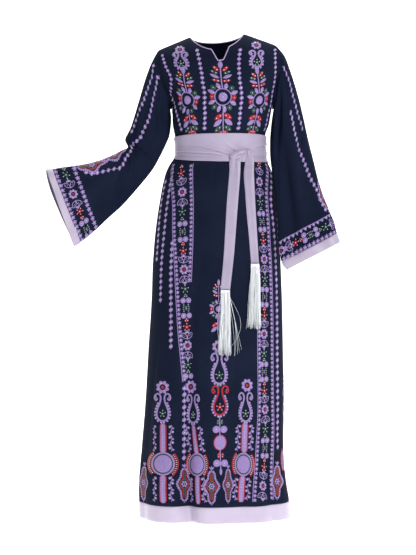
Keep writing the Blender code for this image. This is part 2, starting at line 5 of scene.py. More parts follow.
import bpy
import numpy as np
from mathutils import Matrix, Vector


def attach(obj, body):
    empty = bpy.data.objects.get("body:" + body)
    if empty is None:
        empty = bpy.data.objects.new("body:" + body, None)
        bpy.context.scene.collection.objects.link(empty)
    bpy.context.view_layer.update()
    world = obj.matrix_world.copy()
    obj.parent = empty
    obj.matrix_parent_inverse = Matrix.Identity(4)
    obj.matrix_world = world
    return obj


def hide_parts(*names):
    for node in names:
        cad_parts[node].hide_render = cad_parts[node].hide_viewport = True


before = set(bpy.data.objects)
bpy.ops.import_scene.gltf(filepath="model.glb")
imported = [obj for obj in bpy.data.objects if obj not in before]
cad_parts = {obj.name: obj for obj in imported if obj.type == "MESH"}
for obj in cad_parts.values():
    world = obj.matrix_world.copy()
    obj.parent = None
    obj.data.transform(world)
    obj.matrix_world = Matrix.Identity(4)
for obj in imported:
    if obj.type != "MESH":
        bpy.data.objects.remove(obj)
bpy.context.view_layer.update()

# The photograph's framing: metres for a pixel at the dress, the camera's distance and its axis
PHOTO_SIZE = (416, 555)
METRES_A_PIXEL = 0.00296
CAMERA_DISTANCE = 5.0
CAMERA_X = -0.0259
CAMERA_Z = -0.714
SENSOR_HEIGHT = 24.0
BACKDROP_GLOW = 0.84

# Driving sizes, the same as the solids'
HEM_Z = -1.420
HEM_BAND_TOP_Z = -1.374
UNDERARM_Z = -0.215
NECK_ANGLE = 24.0
SHOULDER_ANGLE = 60.0
NECK_HALF_WIDTH = 0.083
SHOULDER_TILT = 0.06
SHOULDER_SLOPE_LEFT = 0.35
SHOULDER_SLOPE_RIGHT = 0.41
SHOULDER_ROUNDING = 0.078
FRONT_NECK_DEPTH = 0.052
BACK_NECK_DEPTH = 0.014
NOTCH_DEPTH = 0.034
NOTCH_ANGLES = (-5.0, 0.0, 5.0, 10.5)
NECK_CURVE = 0.75
ARMHOLE_CURVE = 1.9
SECTION_POWER = 0.92
SEAM_HALF_GAP = 0.00035
CLOTH = 0.0010
SATIN = 0.0012

BODY_COLUMNS = ("z", "centre", "half_width", "front", "back")
BODY_ROWS = (
    (0.010, 0.000, 0.196, 0.088, 0.088),
    (-0.050, 0.001, 0.195, 0.094, 0.100),
    (-0.100, 0.004, 0.186, 0.107, 0.111),
    (-0.140, 0.009, 0.172, 0.118, 0.114),
    (-0.190, 0.017, 0.151, 0.125, 0.112),
    (-0.226, 0.0145, 0.146, 0.123, 0.106),
    (-0.263, 0.0119, 0.142, 0.113, 0.100),
    (-0.290, 0.0096, 0.1345, 0.104, 0.096),
    (-0.325, 0.0111, 0.1300, 0.100, 0.094),
    (-0.354, 0.0104, 0.1320, 0.100, 0.096),
    (-0.378, 0.0074, 0.1450, 0.105, 0.102),
    (-0.396, 0.0067, 0.1540, 0.110, 0.108),
    (-0.431, 0.0060, 0.1636, 0.117, 0.118),
    (-0.485, 0.0045, 0.1725, 0.122, 0.128),
    (-0.556, 0.0027, 0.1816, 0.127, 0.136),
    (-0.662, 0.0000, 0.1887, 0.131, 0.141),
    (-0.781, 0.0000, 0.1931, 0.135, 0.145),
    (-0.929, -0.0030, 0.1990, 0.141, 0.151),
    (-1.077, -0.0060, 0.2043, 0.147, 0.158),
    (-1.225, -0.0126, 0.2096, 0.153, 0.165),
    (-1.313, -0.0127, 0.2168, 0.156, 0.170),
    (-1.373, -0.0081, 0.2220, 0.158, 0.173),
    (-1.430, -0.0045, 0.2245, 0.160, 0.176),
)

FOLD_COLUMNS = ("start_z", "top_angle", "hem_angle", "spread", "reach")
FOLD_GROWTH = 1.3
FRONT_FOLDS = (
    (-0.560, -27.0, -20.0, 6.5, -0.034),
    (-0.600, -46.0, -43.0, 16.0, 0.014),
    (-0.520, -8.0, -4.0, 10.0, 0.006),
    (-0.700, 16.0, 21.0, 7.0, -0.006),
    (-0.640, 32.0, 35.0, 8.0, 0.006),
    (-0.720, 48.0, 51.0, 7.0, -0.008),
    (-0.840, -70.0, -69.0, 8.0, -0.006),
)
BACK_FOLDS = (
    (-0.560, -62.0, -60.0, 9.0, -0.009),
    (-0.620, -42.0, -44.0, 10.0, 0.009),
    (-0.560, -24.0, -25.0, 7.0, -0.018),
    (-0.600, -6.0, -5.0, 9.0, 0.009),
    (-0.540, 13.0, 15.0, 7.0, -0.015),
    (-0.660, 32.0, 34.0, 9.0, 0.008),
    (-0.620, 52.0, 54.0, 8.0, -0.011),
)

# Creases laid one by one: from one place to another on the cloth (metres round from the middle,
# metres down from the shoulder line), half width and depth; below zero is a trough
CREASE_COLUMNS = ("x0", "d0", "x1", "d1", "width", "depth")
FRONT_CREASES = (
    (-0.150, 0.230, -0.085, 0.205, 0.010, -0.0045),
    (-0.155, 0.250, -0.070, 0.245, 0.009, -0.0033),
    (0.150, 0.225, 0.090, 0.205, 0.010, -0.0042),
    (0.155, 0.250, 0.075, 0.262, 0.009, -0.0030),
    (-0.100, 0.272, 0.000, 0.278, 0.006, 0.0024),
    (0.020, 0.276, 0.110, 0.270, 0.006, 0.0021),
    (-0.170, 0.060, -0.110, 0.130, 0.012, -0.0033),
    (0.170, 0.050, 0.115, 0.120, 0.012, -0.0030),
    (-0.060, 0.375, -0.110, 0.520, 0.010, -0.0024),
    (-0.010, 0.372, -0.020, 0.470, 0.008, -0.0018),
    (0.105, 0.375, 0.135, 0.520, 0.010, -0.0024),
    (-0.150, 0.372, -0.205, 0.470, 0.010, -0.0027),
    (-0.030, 0.620, -0.055, 1.020, 0.012, -0.0033),
    (0.050, 0.900, 0.075, 1.360, 0.012, -0.0036),
    (-0.160, 0.860, -0.170, 1.340, 0.014, -0.0039),
    (0.010, 1.100, 0.005, 1.370, 0.010, 0.0027),
    (0.190, 0.760, 0.205, 1.300, 0.013, -0.0039),
    (-0.235, 0.800, -0.245, 1.300, 0.012, 0.0030),
)
BACK_CREASES = (
    (-0.150, 0.210, -0.080, 0.180, 0.010, -0.0045),
    (0.150, 0.205, 0.085, 0.185, 0.010, -0.0042),
    (-0.090, 0.262, 0.060, 0.268, 0.007, 0.0036),
    (-0.020, 0.245, 0.100, 0.240, 0.007, 0.0027),
    (-0.060, 0.120, -0.120, 0.060, 0.014, -0.0030),
    (0.055, 0.125, 0.120, 0.060, 0.014, -0.0030),
    (-0.100, 0.372, -0.130, 0.540, 0.010, -0.0030),
    (-0.030, 0.372, -0.035, 0.500, 0.009, -0.0024),
    (0.050, 0.372, 0.065, 0.530, 0.010, -0.0030),
    (0.120, 0.372, 0.150, 0.500, 0.010, -0.0024),
    (-0.170, 0.800, -0.185, 1.340, 0.013, -0.0045),
    (0.020, 0.760, 0.015, 1.360, 0.013, -0.0042),
    (0.130, 0.900, 0.150, 1.350, 0.012, -0.0039),
    (0.215, 0.820, 0.230, 1.330, 0.012, -0.0033),
)
ARC_RADIUS = 0.165

SLEEVE_COLUMNS = ("top_x", "top_y", "top_z", "low_x", "low_y", "low_z",
                  "top_girth", "low_girth", "flare")
LEFT_SLEEVE = (
    (-0.1930, 0.000, -0.079, -0.1345, 0.000, -0.240, 0.056, 0.036, 0.000),
    (-0.2120, 0.000, -0.129, -0.1360, 0.000, -0.268, 0.056, 0.032, 0.000),
    (-0.2330, 0.000, -0.200, -0.1405, -0.002, -0.296, 0.053, 0.030, 0.000),
    (-0.2538, -0.002, -0.268, -0.1510, -0.006, -0.322, 0.050, 0.028, 0.000),
    (-0.2710, -0.006, -0.306, -0.1650, -0.012, -0.352, 0.048, 0.026, 0.000),
    (-0.2625, -0.016, -0.329, -0.1907, -0.020, -0.398, 0.042, 0.024, 0.000),
    (-0.2825, -0.032, -0.342, -0.2310, -0.030, -0.449, 0.044, 0.022, 0.000),
    (-0.3240, -0.052, -0.364, -0.2780, -0.042, -0.503, 0.043, 0.020, 0.003),
    (-0.3700, -0.068, -0.380, -0.3160, -0.052, -0.538, 0.042, 0.019, 0.007),
    (-0.4130, -0.080, -0.388, -0.3480, -0.060, -0.569, 0.042, 0.018, 0.012),
    (-0.4760, -0.092, -0.398, -0.3960, -0.068, -0.610, 0.043, 0.018, 0.018),
    (-0.4950, -0.095, -0.399, -0.4170, -0.070, -0.624, 0.043, 0.018, 0.020),
)
RIGHT_SLEEVE = (
    (0.1991, 0.000, -0.056, 0.1640, 0.000, -0.240, 0.056, 0.036, 0.000),
    (0.2168, 0.000, -0.100, 0.1600, -0.004, -0.270, 0.056, 0.032, 0.000),
    (0.2375, 0.000, -0.165, 0.1570, -0.012, -0.311, 0.053, 0.030, 0.000),
    (0.2553, -0.002, -0.236, 0.1570, -0.026, -0.357, 0.050, 0.026, 0.000),
    (0.2701, -0.010, -0.307, 0.1615, -0.046, -0.406, 0.048, 0.022, 0.000),
    (0.2840, -0.024, -0.366, 0.1668, -0.060, -0.458, 0.046, 0.019, 0.000),
    (0.3035, -0.040, -0.449, 0.1735, -0.069, -0.516, 0.045, 0.017, 0.000),
    (0.3260, -0.055, -0.511, 0.1775, -0.076, -0.568, 0.044, 0.016, 0.000),
    (0.3410, -0.066, -0.549, 0.1790, -0.082, -0.608, 0.044, 0.016, 0.000),
    (0.3500, -0.074, -0.584, 0.1882, -0.087, -0.6677, 0.045, 0.016, 0.000),
    (0.3596, -0.078, -0.6111, 0.2035, -0.089, -0.6915, 0.045, 0.016, 0.000),
)
SLEEVE_TROUGHS = ((62.0, 16.0, 0.007), (118.0, 14.0, 0.006), (248.0, 16.0, 0.006),
                  (296.0, 15.0, 0.007))
SLEEVE_START = 0.0009
SLEEVE_LEDGE = 0.0045
SLEEVE_FINE = 96

SASH_EDGE_COLUMNS = ("angle", "top", "low")
SASH_EDGES = (
    (-90.0, -0.3017, -0.3600),
    (-60.0, -0.2992, -0.3685),
    (-30.0, -0.2970, -0.3745),
    (0.0, -0.2960, -0.3770),
    (45.0, -0.2955, -0.3770),
    (90.0, -0.2965, -0.3735),
)
SASH_TOP_Z = max(top for _, top, _ in SASH_EDGES)
SASH_LOW_Z = min(low for _, _, low in SASH_EDGES)
OUTER_TURN_LOW_Z = SASH_TOP_Z + (SASH_LOW_Z - SASH_TOP_Z) * 0.80
SASH_EDGE_CLEARANCE = 0.003
SASH_STAND_OFF = 0.0012
SASH_TURN_GAP = 0.0006
SASH_WALL = 0.0018
SASH_DEPTH = 0.0064
INNER_TURN_DEPTH = 0.0040
KNOT_CENTRE = (0.0660, -0.357)

TAIL_COLUMNS = ("z", "x", "width")
LEFT_TAIL = (
    (-0.3530, 0.0600, 0.0240),
    (-0.3690, 0.0542, 0.0308),
    (-0.4075, 0.0519, 0.0319),
    (-0.4956, 0.0447, 0.0325),
    (-0.5700, 0.0396, 0.0312),
    (-0.6426, 0.0347, 0.0297),
    (-0.7499, 0.0238, 0.0275),
)
RIGHT_TAIL = (
    (-0.3420, 0.0895, 0.0170),
    (-0.3650, 0.0940, 0.0240),
    (-0.4133, 0.0925, 0.0297),
    (-0.4749, 0.0960, 0.0280),
    (-0.5266, 0.0990, 0.0271),
    (-0.5782, 0.1031, 0.0250),
    (-0.6740, 0.1100, 0.0230),
)
TAIL_THICKNESS = 0.0026
TAIL_CLEARANCE = 0.0009
HANG_STEP = 0.008
TASSEL_HEAD = (0.0245, 0.0078, 0.0100)
TASSEL_LENGTH = 0.179


# Form of the dress

def table_value(rows, columns, name, at):
    """Smooth value of one named column of a table whose first column falls down the rows."""
    table = np.array(rows, dtype=float)
    keys = -table[:, 0]
    values = table[:, columns.index(name)]
    slopes = np.gradient(values, keys)
    place = np.clip(-np.asarray(at, dtype=float), keys[0], keys[-1])
    index = np.clip(np.searchsorted(keys, place, side="right") - 1, 0, len(keys) - 2)
    span = keys[index + 1] - keys[index]
    t = (place - keys[index]) / span
    return ((2.0 * t ** 3 - 3.0 * t ** 2 + 1.0) * values[index]
            + (3.0 * t ** 2 - 2.0 * t ** 3) * values[index + 1]
            + (t ** 3 - 2.0 * t ** 2 + t) * span * slopes[index]
            + (t ** 3 - t ** 2) * span * slopes[index + 1])


def shoulder_height(x):
    slope = np.where(x < 0.0, SHOULDER_SLOPE_LEFT, SHOULDER_SLOPE_RIGHT)
    return SHOULDER_TILT * x - slope * np.maximum(0.0, np.abs(x) - NECK_HALF_WIDTH)


def crease_reach(creases, x, down):
    """Sum of soft troughs and ridges at places x metres round and down metres below."""
    reach = np.zeros(np.broadcast(x, down).shape)
    for row in creases:
        crease = dict(zip(CREASE_COLUMNS, row))
        run = np.array([crease["x1"] - crease["x0"], crease["d1"] - crease["d0"]])
        length = float(np.hypot(*run))
        run /= length
        along = (x - crease["x0"]) * run[0] + (down - crease["d0"]) * run[1]
        bow = 0.04 * length * np.sin(np.pi * np.clip(along / length, 0.0, 1.0))
        off = (x - crease["x0"]) * run[1] - (down - crease["d0"]) * run[0] + bow
        share = np.clip(along / length, 0.0, 1.0)
        fade = np.sin(np.pi * np.clip(share * 0.94 + 0.03, 0.0, 1.0)) ** 0.6
        past = np.maximum(0.0, np.maximum(-along, along - length))
        width = crease["width"] * (0.7 + 0.6 * share)
        reach += crease["depth"] * fade * np.exp(-(off / width) ** 2 - (past / width) ** 2)
    return reach


def body_point(side, angle, z):
    """Outer points of the dress: side is -1 in front and +1 behind, angle 0 is the middle."""
    angle, z = np.broadcast_arrays(np.asarray(angle, dtype=float), np.asarray(z, dtype=float))
    centre = table_value(BODY_ROWS, BODY_COLUMNS, "centre", z)
    half_width = table_value(BODY_ROWS, BODY_COLUMNS, "half_width", z)
    depth = table_value(BODY_ROWS, BODY_COLUMNS, "front" if side < 0 else "back", z)
    across = np.sin(np.radians(angle))
    facing = np.maximum(0.0, np.cos(np.radians(angle)))
    x = centre + half_width * across
    drop = np.clip((shoulder_height(x) - z) / SHOULDER_ROUNDING, 0.0, 1.0)
    rounding = np.sqrt(1.0 - (1.0 - drop) ** 2)
    normal_x = across / half_width
    normal_y = side * facing / depth
    size = np.hypot(normal_x, normal_y)
    reach = np.zeros(z.shape)
    for row in FRONT_FOLDS if side < 0 else BACK_FOLDS:
        fold = dict(zip(FOLD_COLUMNS, row))
        run = np.maximum(0.0, (fold["start_z"] - z) / (fold["start_z"] - HEM_Z))
        middle = fold["top_angle"] + (fold["hem_angle"] - fold["top_angle"]) * run
        crest = np.exp(-((angle - middle) / fold["spread"]) ** 2)
        reach += fold["reach"] * run ** FOLD_GROWTH * crest
    creases = FRONT_CREASES if side < 0 else BACK_CREASES
    reach += crease_reach(creases, np.radians(angle) * ARC_RADIUS, -z) * facing ** 0.5
    y = side * (depth * facing ** SECTION_POWER * rounding + SEAM_HALF_GAP)
    return np.stack([x + normal_x / size * reach, y + normal_y / size * reach, z], axis=-1)


def seam_height(side, angle):
    height = np.zeros_like(angle)
    for _ in range(12):
        height = shoulder_height(body_point(side, angle, height)[..., 0])
    return height


def top_height(side, angle):
    """Heights of a panel's upper edge: neckline, shoulder seam or armhole."""
    size = np.abs(angle)
    seam = seam_height(side, angle)
    depth = FRONT_NECK_DEPTH if side < 0 else BACK_NECK_DEPTH
    height = seam - depth * np.maximum(0.0, 1.0 - (size / NECK_ANGLE) ** 2) ** NECK_CURVE
    if side < 0:
        height = height - NOTCH_DEPTH * np.interp(angle, NOTCH_ANGLES, (0.0, 1.0, 1.0, 0.0))
    tip = seam_height(side, np.sign(angle) * SHOULDER_ANGLE)
    run = np.clip((size - SHOULDER_ANGLE) / (90.0 - SHOULDER_ANGLE), 0.0, 1.0)
    armhole = UNDERARM_Z + (tip - UNDERARM_Z) * (1.0 - run) ** ARMHOLE_CURVE
    return np.where(size <= NECK_ANGLE, height, np.where(size <= SHOULDER_ANGLE, seam, armhole))


class BodyPatch:
    """Front or back of the dress: u is the angle in degrees, v is the height."""

    def __init__(self, side):
        self.side = side

    def point(self, u, v):
        return body_point(self.side, u, v)

    def normal(self, u, v):
        across = self.point(u + 0.4, v) - self.point(u - 0.4, v)
        down = self.point(u, v - 0.002) - self.point(u, v + 0.002)
        normal = np.cross(down, across) * -self.side
        return normal / np.linalg.norm(normal, axis=-1, keepdims=True)

    def scale(self, u, v):
        """Metres on the cloth for one unit of u and of v."""
        across = np.linalg.norm(self.point(u + 1.0, v) - self.point(u - 1.0, v)) / 2.0
        down = np.linalg.norm(self.point(u, v - 0.01) - self.point(u, v + 0.01)) / 0.02
        return across * -self.side, down


def sleeve_ring(station, turns):
    row = dict(zip(SLEEVE_COLUMNS, station))
    top = np.array([row["top_x"], row["top_y"], row["top_z"]])
    low = np.array([row["low_x"], row["low_y"], row["low_z"]])
    lift = np.cos(turns)
    girth = row["top_girth"] * (1.0 + lift) / 2.0 + row["low_girth"] * (1.0 - lift) / 2.0
    for angle, spread, depth in SLEEVE_TROUGHS:
        girth = girth - depth * np.exp(-((np.degrees(turns) - angle) / spread) ** 2)
    outward = np.array([math.copysign(1.0, row["top_x"]), 0.0, -1.0]) / math.sqrt(2.0)
    ring = (top + low) / 2.0 + np.outer(lift, (top - low) / 2.0)
    ring[:, 1] -= np.sin(turns) * girth
    flare = row["flare"] * np.maximum(0.0, -np.sin(turns)) * (1.0 + lift) / 2.0
    return ring + np.outer(flare, outward)


def armhole_rings(x_sign):
    """First two rings of a sleeve: on the armhole, then a short way on across the seam."""
    half = SLEEVE_FINE // 2
    edges = []
    for side in (-1, 1):
        angles = x_sign * np.linspace(SHOULDER_ANGLE, 90.0, half + 1)
        heights = top_height(side, angles) - 0.0005
        patch = BodyPatch(side)
        points = patch.point(angles, heights)
        run = np.gradient(points, axis=0)
        ways = np.cross(run, patch.normal(angles, heights))
        ways /= np.linalg.norm(ways, axis=1, keepdims=True)
        wrong = ways[:, 0] * x_sign + ways[:, 2] < 0.0
        ways[wrong] *= -1.0
        edges.append((points, ways))
    points = np.concatenate([edges[0][0], edges[1][0][-2:0:-1]])
    ways = np.concatenate([edges[0][1], edges[1][1][-2:0:-1]])
    height = (points[:, 2] - points[half, 2]) / (points[0, 2] - points[half, 2])
    share = np.clip((height - 0.12) / 0.35, 0.0, 1.0)[:, None]
    steps = ways * share + np.array([x_sign, 0.0, 0.0]) * (1.0 - share)
    steps /= np.linalg.norm(steps, axis=1, keepdims=True)
    return points + steps * SLEEVE_START, points + steps * (SLEEVE_START + SLEEVE_LEDGE)


# Sleeve creases: station and turn in degrees at each end, half width in metres, depth
SLEEVE_CREASE_COLUMNS = ("s0", "t0", "s1", "t1", "width", "depth")
LEFT_SLEEVE_CREASES = (
    (1.0, 60.0, 4.6, 120.0, 0.012, -0.0060),
    (1.5, 95.0, 5.0, 140.0, 0.010, -0.0045),
    (6.0, 25.0, 6.6, 150.0, 0.012, -0.0075),
    (6.8, 20.0, 8.2, 120.0, 0.014, 0.0060),
    (7.2, 40.0, 9.6, 150.0, 0.016, -0.0067),
    (7.0, 60.0, 11.4, 80.0, 0.018, 0.0053),
    (7.6, 95.0, 12.2, 118.0, 0.018, -0.0060),
    (3.6, 35.0, 6.2, 75.0, 0.011, 0.0053),
    (6.0, 335.0, 6.6, 215.0, 0.012, -0.0075),
    (7.0, 320.0, 10.5, 230.0, 0.015, -0.0067),
    (1.2, 300.0, 4.6, 240.0, 0.012, -0.0060),
    (7.8, 270.0, 12.0, 255.0, 0.018, 0.0053),
)
RIGHT_SLEEVE_CREASES = (
    (1.0, 60.0, 5.0, 128.0, 0.012, -0.0060),
    (2.0, 95.0, 7.0, 146.0, 0.012, -0.0054),
    (3.0, 50.0, 9.0, 100.0, 0.018, 0.0053),
    (5.0, 105.0, 11.0, 122.0, 0.016, -0.0067),
    (6.0, 60.0, 11.5, 72.0, 0.018, -0.0054),
    (5.2, 20.0, 6.4, 80.0, 0.010, -0.0045),
    (1.0, 300.0, 5.0, 235.0, 0.012, -0.0060),
    (4.0, 290.0, 10.0, 250.0, 0.016, -0.0067),
    (5.0, 320.0, 11.0, 300.0, 0.016, 0.0053),
)


class SleevePatch:
    """A sleeve: u is the turn in degrees from its top edge by the front, v the station."""

    def __init__(self, x_sign, stations, creases):
        self.sign = x_sign
        turns = np.linspace(0.0, 2.0 * math.pi, SLEEVE_FINE, endpoint=False)
        rings = list(armhole_rings(x_sign)) + [sleeve_ring(row, turns) for row in stations]
        self.rings = np.array(rings)
        self.slopes = np.gradient(self.rings, axis=0)
        self.slopes[:2] = self.rings[1] - self.rings[0]
        self.creases = creases
        self.last = len(rings) - 1

    def base(self, u, v):
        u, v = np.broadcast_arrays(np.asarray(u, dtype=float), np.asarray(v, dtype=float))
        row = np.clip(np.floor(v).astype(int), 0, self.last - 1)
        t = (v - row)[..., None]
        place = np.mod(u, 360.0) / 360.0 * SLEEVE_FINE
        left = np.floor(place).astype(int) % SLEEVE_FINE
        part = (place - np.floor(place))[..., None]
        right = (left + 1) % SLEEVE_FINE

        def mixed(rings, index):
            return rings[index, left] * (1.0 - part) + rings[index, right] * part

        return ((2.0 * t ** 3 - 3.0 * t ** 2 + 1.0) * mixed(self.rings, row)
                + (3.0 * t ** 2 - 2.0 * t ** 3) * mixed(self.rings, row + 1)
                + (t ** 3 - 2.0 * t ** 2 + t) * mixed(self.slopes, row)
                + (t ** 3 - t ** 2) * mixed(self.slopes, row + 1))

    def base_normal(self, u, v):
        v = np.clip(v, 0.02, self.last - 0.02)
        across = self.base(u + 2.0, v) - self.base(u - 2.0, v)
        along = self.base(u, v + 0.02) - self.base(u, v - 0.02)
        normal = np.cross(along, across) * -self.sign
        return normal / np.linalg.norm(normal, axis=-1, keepdims=True)

    def point(self, u, v):
        u, v = np.broadcast_arrays(np.asarray(u, dtype=float), np.asarray(v, dtype=float))
        reach = np.zeros(u.shape)
        for row in self.creases:
            crease = dict(zip(SLEEVE_CREASE_COLUMNS, row))
            share = np.clip((v - crease["s0"]) / (crease["s1"] - crease["s0"]), 0.0, 1.0)
            middle = crease["t0"] + (crease["t1"] - crease["t0"]) * share
            off = np.radians(np.mod(u - middle + 180.0, 360.0) - 180.0) * 0.075
            past = np.maximum(0.0, np.maximum(crease["s0"] - v, v - crease["s1"])) * 0.045
            fade = np.sin(np.pi * (share * 0.9 + 0.05)) ** 0.7
            reach += crease["depth"] * fade * np.exp(-(off / crease["width"]) ** 2
                                                     - (past / crease["width"]) ** 2)
        reach = reach * np.clip((v - 1.0) / 1.5, 0.0, 1.0)
        return self.base(u, v) + self.base_normal(u, v) * reach[..., None]

    def normal(self, u, v):
        v = np.clip(v, 0.02, self.last - 0.02)
        across = self.point(u + 2.0, v) - self.point(u - 2.0, v)
        along = self.point(u, v + 0.02) - self.point(u, v - 0.02)
        normal = np.cross(along, across) * -self.sign
        return normal / np.linalg.norm(normal, axis=-1, keepdims=True)

    def scale(self, u, v):
        across = np.linalg.norm(self.point(u + 2.0, v) - self.point(u - 2.0, v)) / 4.0
        low, high = max(v - 0.1, 0.0), min(v + 0.1, float(self.last))
        along = np.linalg.norm(self.point(u, high) - self.point(u, low)) / (high - low)
        return across, along


# Materials

def new_material(name, roughness, sheen=0.0, sheen_tint=(1.0, 1.0, 1.0)):
    material = bpy.data.materials.new(name)
    material.use_nodes = True
    shader = material.node_tree.nodes["Principled BSDF"]
    shader.inputs["Roughness"].default_value = roughness
    shader.inputs["Sheen Weight"].default_value = sheen
    shader.inputs["Sheen Roughness"].default_value = 0.45
    shader.inputs["Sheen Tint"].default_value = (*sheen_tint, 1.0)
    return material, material.node_tree, shader


def coordinates(tree, scale):
    place = tree.nodes.new("ShaderNodeTexCoord")
    mapping = tree.nodes.new("ShaderNodeMapping")
    mapping.inputs["Scale"].default_value = scale
    tree.links.new(place.outputs["Object"], mapping.inputs["Vector"])
    return mapping.outputs["Vector"]


def noise(tree, scale, detail=3.0, stretch=(1.0, 1.0, 1.0)):
    node = tree.nodes.new("ShaderNodeTexNoise")
    node.inputs["Scale"].default_value = scale
    node.inputs["Detail"].default_value = detail
    tree.links.new(coordinates(tree, stretch), node.inputs["Vector"])
    return node.outputs["Fac"]


def colour_ramp(tree, factor, low, high, start=0.3, stop=0.7):
    ramp = tree.nodes.new("ShaderNodeValToRGB")
    ramp.color_ramp.elements[0].position = start
    ramp.color_ramp.elements[0].color = (*low, 1.0)
    ramp.color_ramp.elements[1].position = stop
    ramp.color_ramp.elements[1].color = (*high, 1.0)
    tree.links.new(factor, ramp.inputs["Fac"])
    return ramp.outputs["Color"]


def add_bump(tree, shader, height, strength, distance, under=None):
    bump = tree.nodes.new("ShaderNodeBump")
    bump.inputs["Strength"].default_value = strength
    bump.inputs["Distance"].default_value = distance
    tree.links.new(height, bump.inputs["Height"])
    if under is not None:
        tree.links.new(under, bump.inputs["Normal"])
    tree.links.new(bump.outputs["Normal"], shader.inputs["Normal"])
    return bump.outputs["Normal"]


def crepe_material():
    """Matt navy crepe: a fine pebbled grain and a slow change of tone."""
    material, tree, shader = new_material("navy_crepe_weave", 0.88)
    shader.inputs["Specular IOR Level"].default_value = 0.06
    tone = noise(tree, 9.0, 4.0)
    colour = colour_ramp(tree, tone, (0.0056, 0.0088, 0.0225), (0.0084, 0.0126, 0.0310))
    tree.links.new(colour, shader.inputs["Base Color"])
    grain = noise(tree, 900.0, 2.0)
    pebbles = add_bump(tree, shader, grain, 0.35, 0.0004)
    slow = noise(tree, 55.0, 3.0)
    add_bump(tree, shader, slow, 0.10, 0.0012, pebbles)
    return material


def satin_material(name, low, high, roughness=0.42):
    """Satin with a soft lengthwise thread and a slow change of tone."""
    material, tree, shader = new_material(name, roughness, 0.12, (1.0, 0.95, 1.0))
    shader.inputs["Specular IOR Level"].default_value = 0.45
    tone = noise(tree, 14.0, 4.0)
    tree.links.new(colour_ramp(tree, tone, low, high), shader.inputs["Base Color"])
    threads = noise(tree, 420.0, 2.0, (1.0, 1.0, 5.0))
    fine = add_bump(tree, shader, threads, 0.14, 0.0003)
    slow = noise(tree, 60.0, 2.0)
    add_bump(tree, shader, slow, 0.10, 0.0010, fine)
    return material


def thread_material(name, low, high, roughness=0.5):
    """Embroidery thread: close satin stitches that catch the light."""
    material, tree, shader = new_material(name, roughness, 0.04, (1.0, 1.0, 1.0))
    shader.inputs["Specular IOR Level"].default_value = 0.32
    tone = noise(tree, 320.0, 2.0, (1.0, 1.0, 2.5))
    tree.links.new(colour_ramp(tree, tone, low, high), shader.inputs["Base Color"])
    wave = tree.nodes.new("ShaderNodeTexWave")
    wave.wave_type = "BANDS"
    wave.bands_direction = "DIAGONAL"
    wave.inputs["Scale"].default_value = 420.0
    wave.inputs["Distortion"].default_value = 2.5
    tree.links.new(coordinates(tree, (1.0, 1.0, 1.0)), wave.inputs["Vector"])
    add_bump(tree, shader, wave.outputs["Fac"], 0.35, 0.0003)
    return material


def stone_material():
    """Small cut glass stones with a pale rainbow cast."""
    material, tree, shader = new_material("cut_stone", 0.08)
    shader.inputs["Specular IOR Level"].default_value = 0.9
    shader.inputs["Coat Weight"].default_value = 0.6
    shader.inputs["Coat Roughness"].default_value = 0.03
    cast = noise(tree, 240.0, 1.0)
    colour = colour_ramp(tree, cast, (0.80, 0.93, 0.93), (0.98, 0.92, 0.86), 0.35, 0.65)
    tree.links.new(colour, shader.inputs["Base Color"])
    return material


def silk_material():
    """White silky tassel thread."""
    material, tree, shader = new_material("white_silk_thread", 0.36, 0.25, (1.0, 1.0, 1.0))
    shader.inputs["Specular IOR Level"].default_value = 0.55
    tone = noise(tree, 300.0, 2.0, (1.0, 1.0, 0.06))
    colour = colour_ramp(tree, tone, (0.78, 0.82, 0.86), (0.95, 0.97, 1.00))
    tree.links.new(colour, shader.inputs["Base Color"])
    add_bump(tree, shader, tone, 0.25, 0.0003)
    return material


CREPE = crepe_material()
SASH_SATIN = satin_material("lavender_satin", (0.345, 0.297, 0.420), (0.400, 0.347, 0.475))
# The cuff bands and the hem band are one satin in two copies: the cuffs' copy is darker as painted
# shade, the hem's copy lighter as painted light.
BAND_SATIN_PAINTED_SHADE = satin_material("lavender_band_satin_painted_shade", (0.395, 0.342, 0.455), (0.445, 0.388, 0.505))
HEM_SATIN_PAINTED_LIGHT = satin_material("lavender_hem_satin_painted_light", (0.520, 0.450, 0.595), (0.585, 0.510, 0.660))
# Inside of the cuff bands: the satin's dull reverse, its colour painted dark as the shade inside
# the cuff.
SATIN_REVERSE_PAINTED_SHADE = satin_material("satin_reverse_painted_shade", (0.120, 0.095, 0.150), (0.160, 0.130, 0.195), 0.7)
PIPING_SATIN = satin_material("lavender_piping_satin", (0.36, 0.26, 0.50), (0.44, 0.33, 0.60))
SILK = silk_material()
STITCH_MATERIALS = {
    "lavender": thread_material("lavender_thread", (0.200, 0.130, 0.350), (0.330, 0.240, 0.500)),
    "red": thread_material("red_thread", (0.240, 0.003, 0.014), (0.430, 0.006, 0.026)),
    "green": thread_material("green_thread", (0.006, 0.034, 0.022), (0.020, 0.078, 0.050)),
    "stones": stone_material(),
}


# Mesh helpers

def mesh_object(name, points, faces, material, smooth=True):
    mesh = bpy.data.meshes.new(name)
    mesh.from_pydata([tuple(p) for p in points], [], faces)
    mesh.validate()
    if smooth:
        mesh.shade_smooth()
    obj = bpy.data.objects.new(name, mesh)
    obj.data.materials.append(material)
    bpy.context.scene.collection.objects.link(obj)
    return obj


def grid_object(name, grid, material, thickness, closed=False, flip=False, inside=None):
    """Cloth through a grid of points, given its thickness inwards."""
    rows, columns = grid.shape[0], grid.shape[1]
    last = columns if closed else columns - 1
    i, j = np.meshgrid(np.arange(rows - 1), np.arange(last), indexing="ij")
    after = (j + 1) % columns
    corners = np.stack([i * columns + j, (i + 1) * columns + j,
                        (i + 1) * columns + after, i * columns + after], axis=-1)
    faces = corners.reshape(-1, 4)
    if flip:
        faces = faces[:, ::-1]
    obj = mesh_object(name, grid.reshape(-1, 3), faces.tolist(), material)
    wall = obj.modifiers.new("Wall", "SOLIDIFY")
    wall.thickness = thickness
    wall.offset = -1.0
    if inside is not None:
        obj.data.materials.append(inside)
        wall.material_offset = 1
    return obj


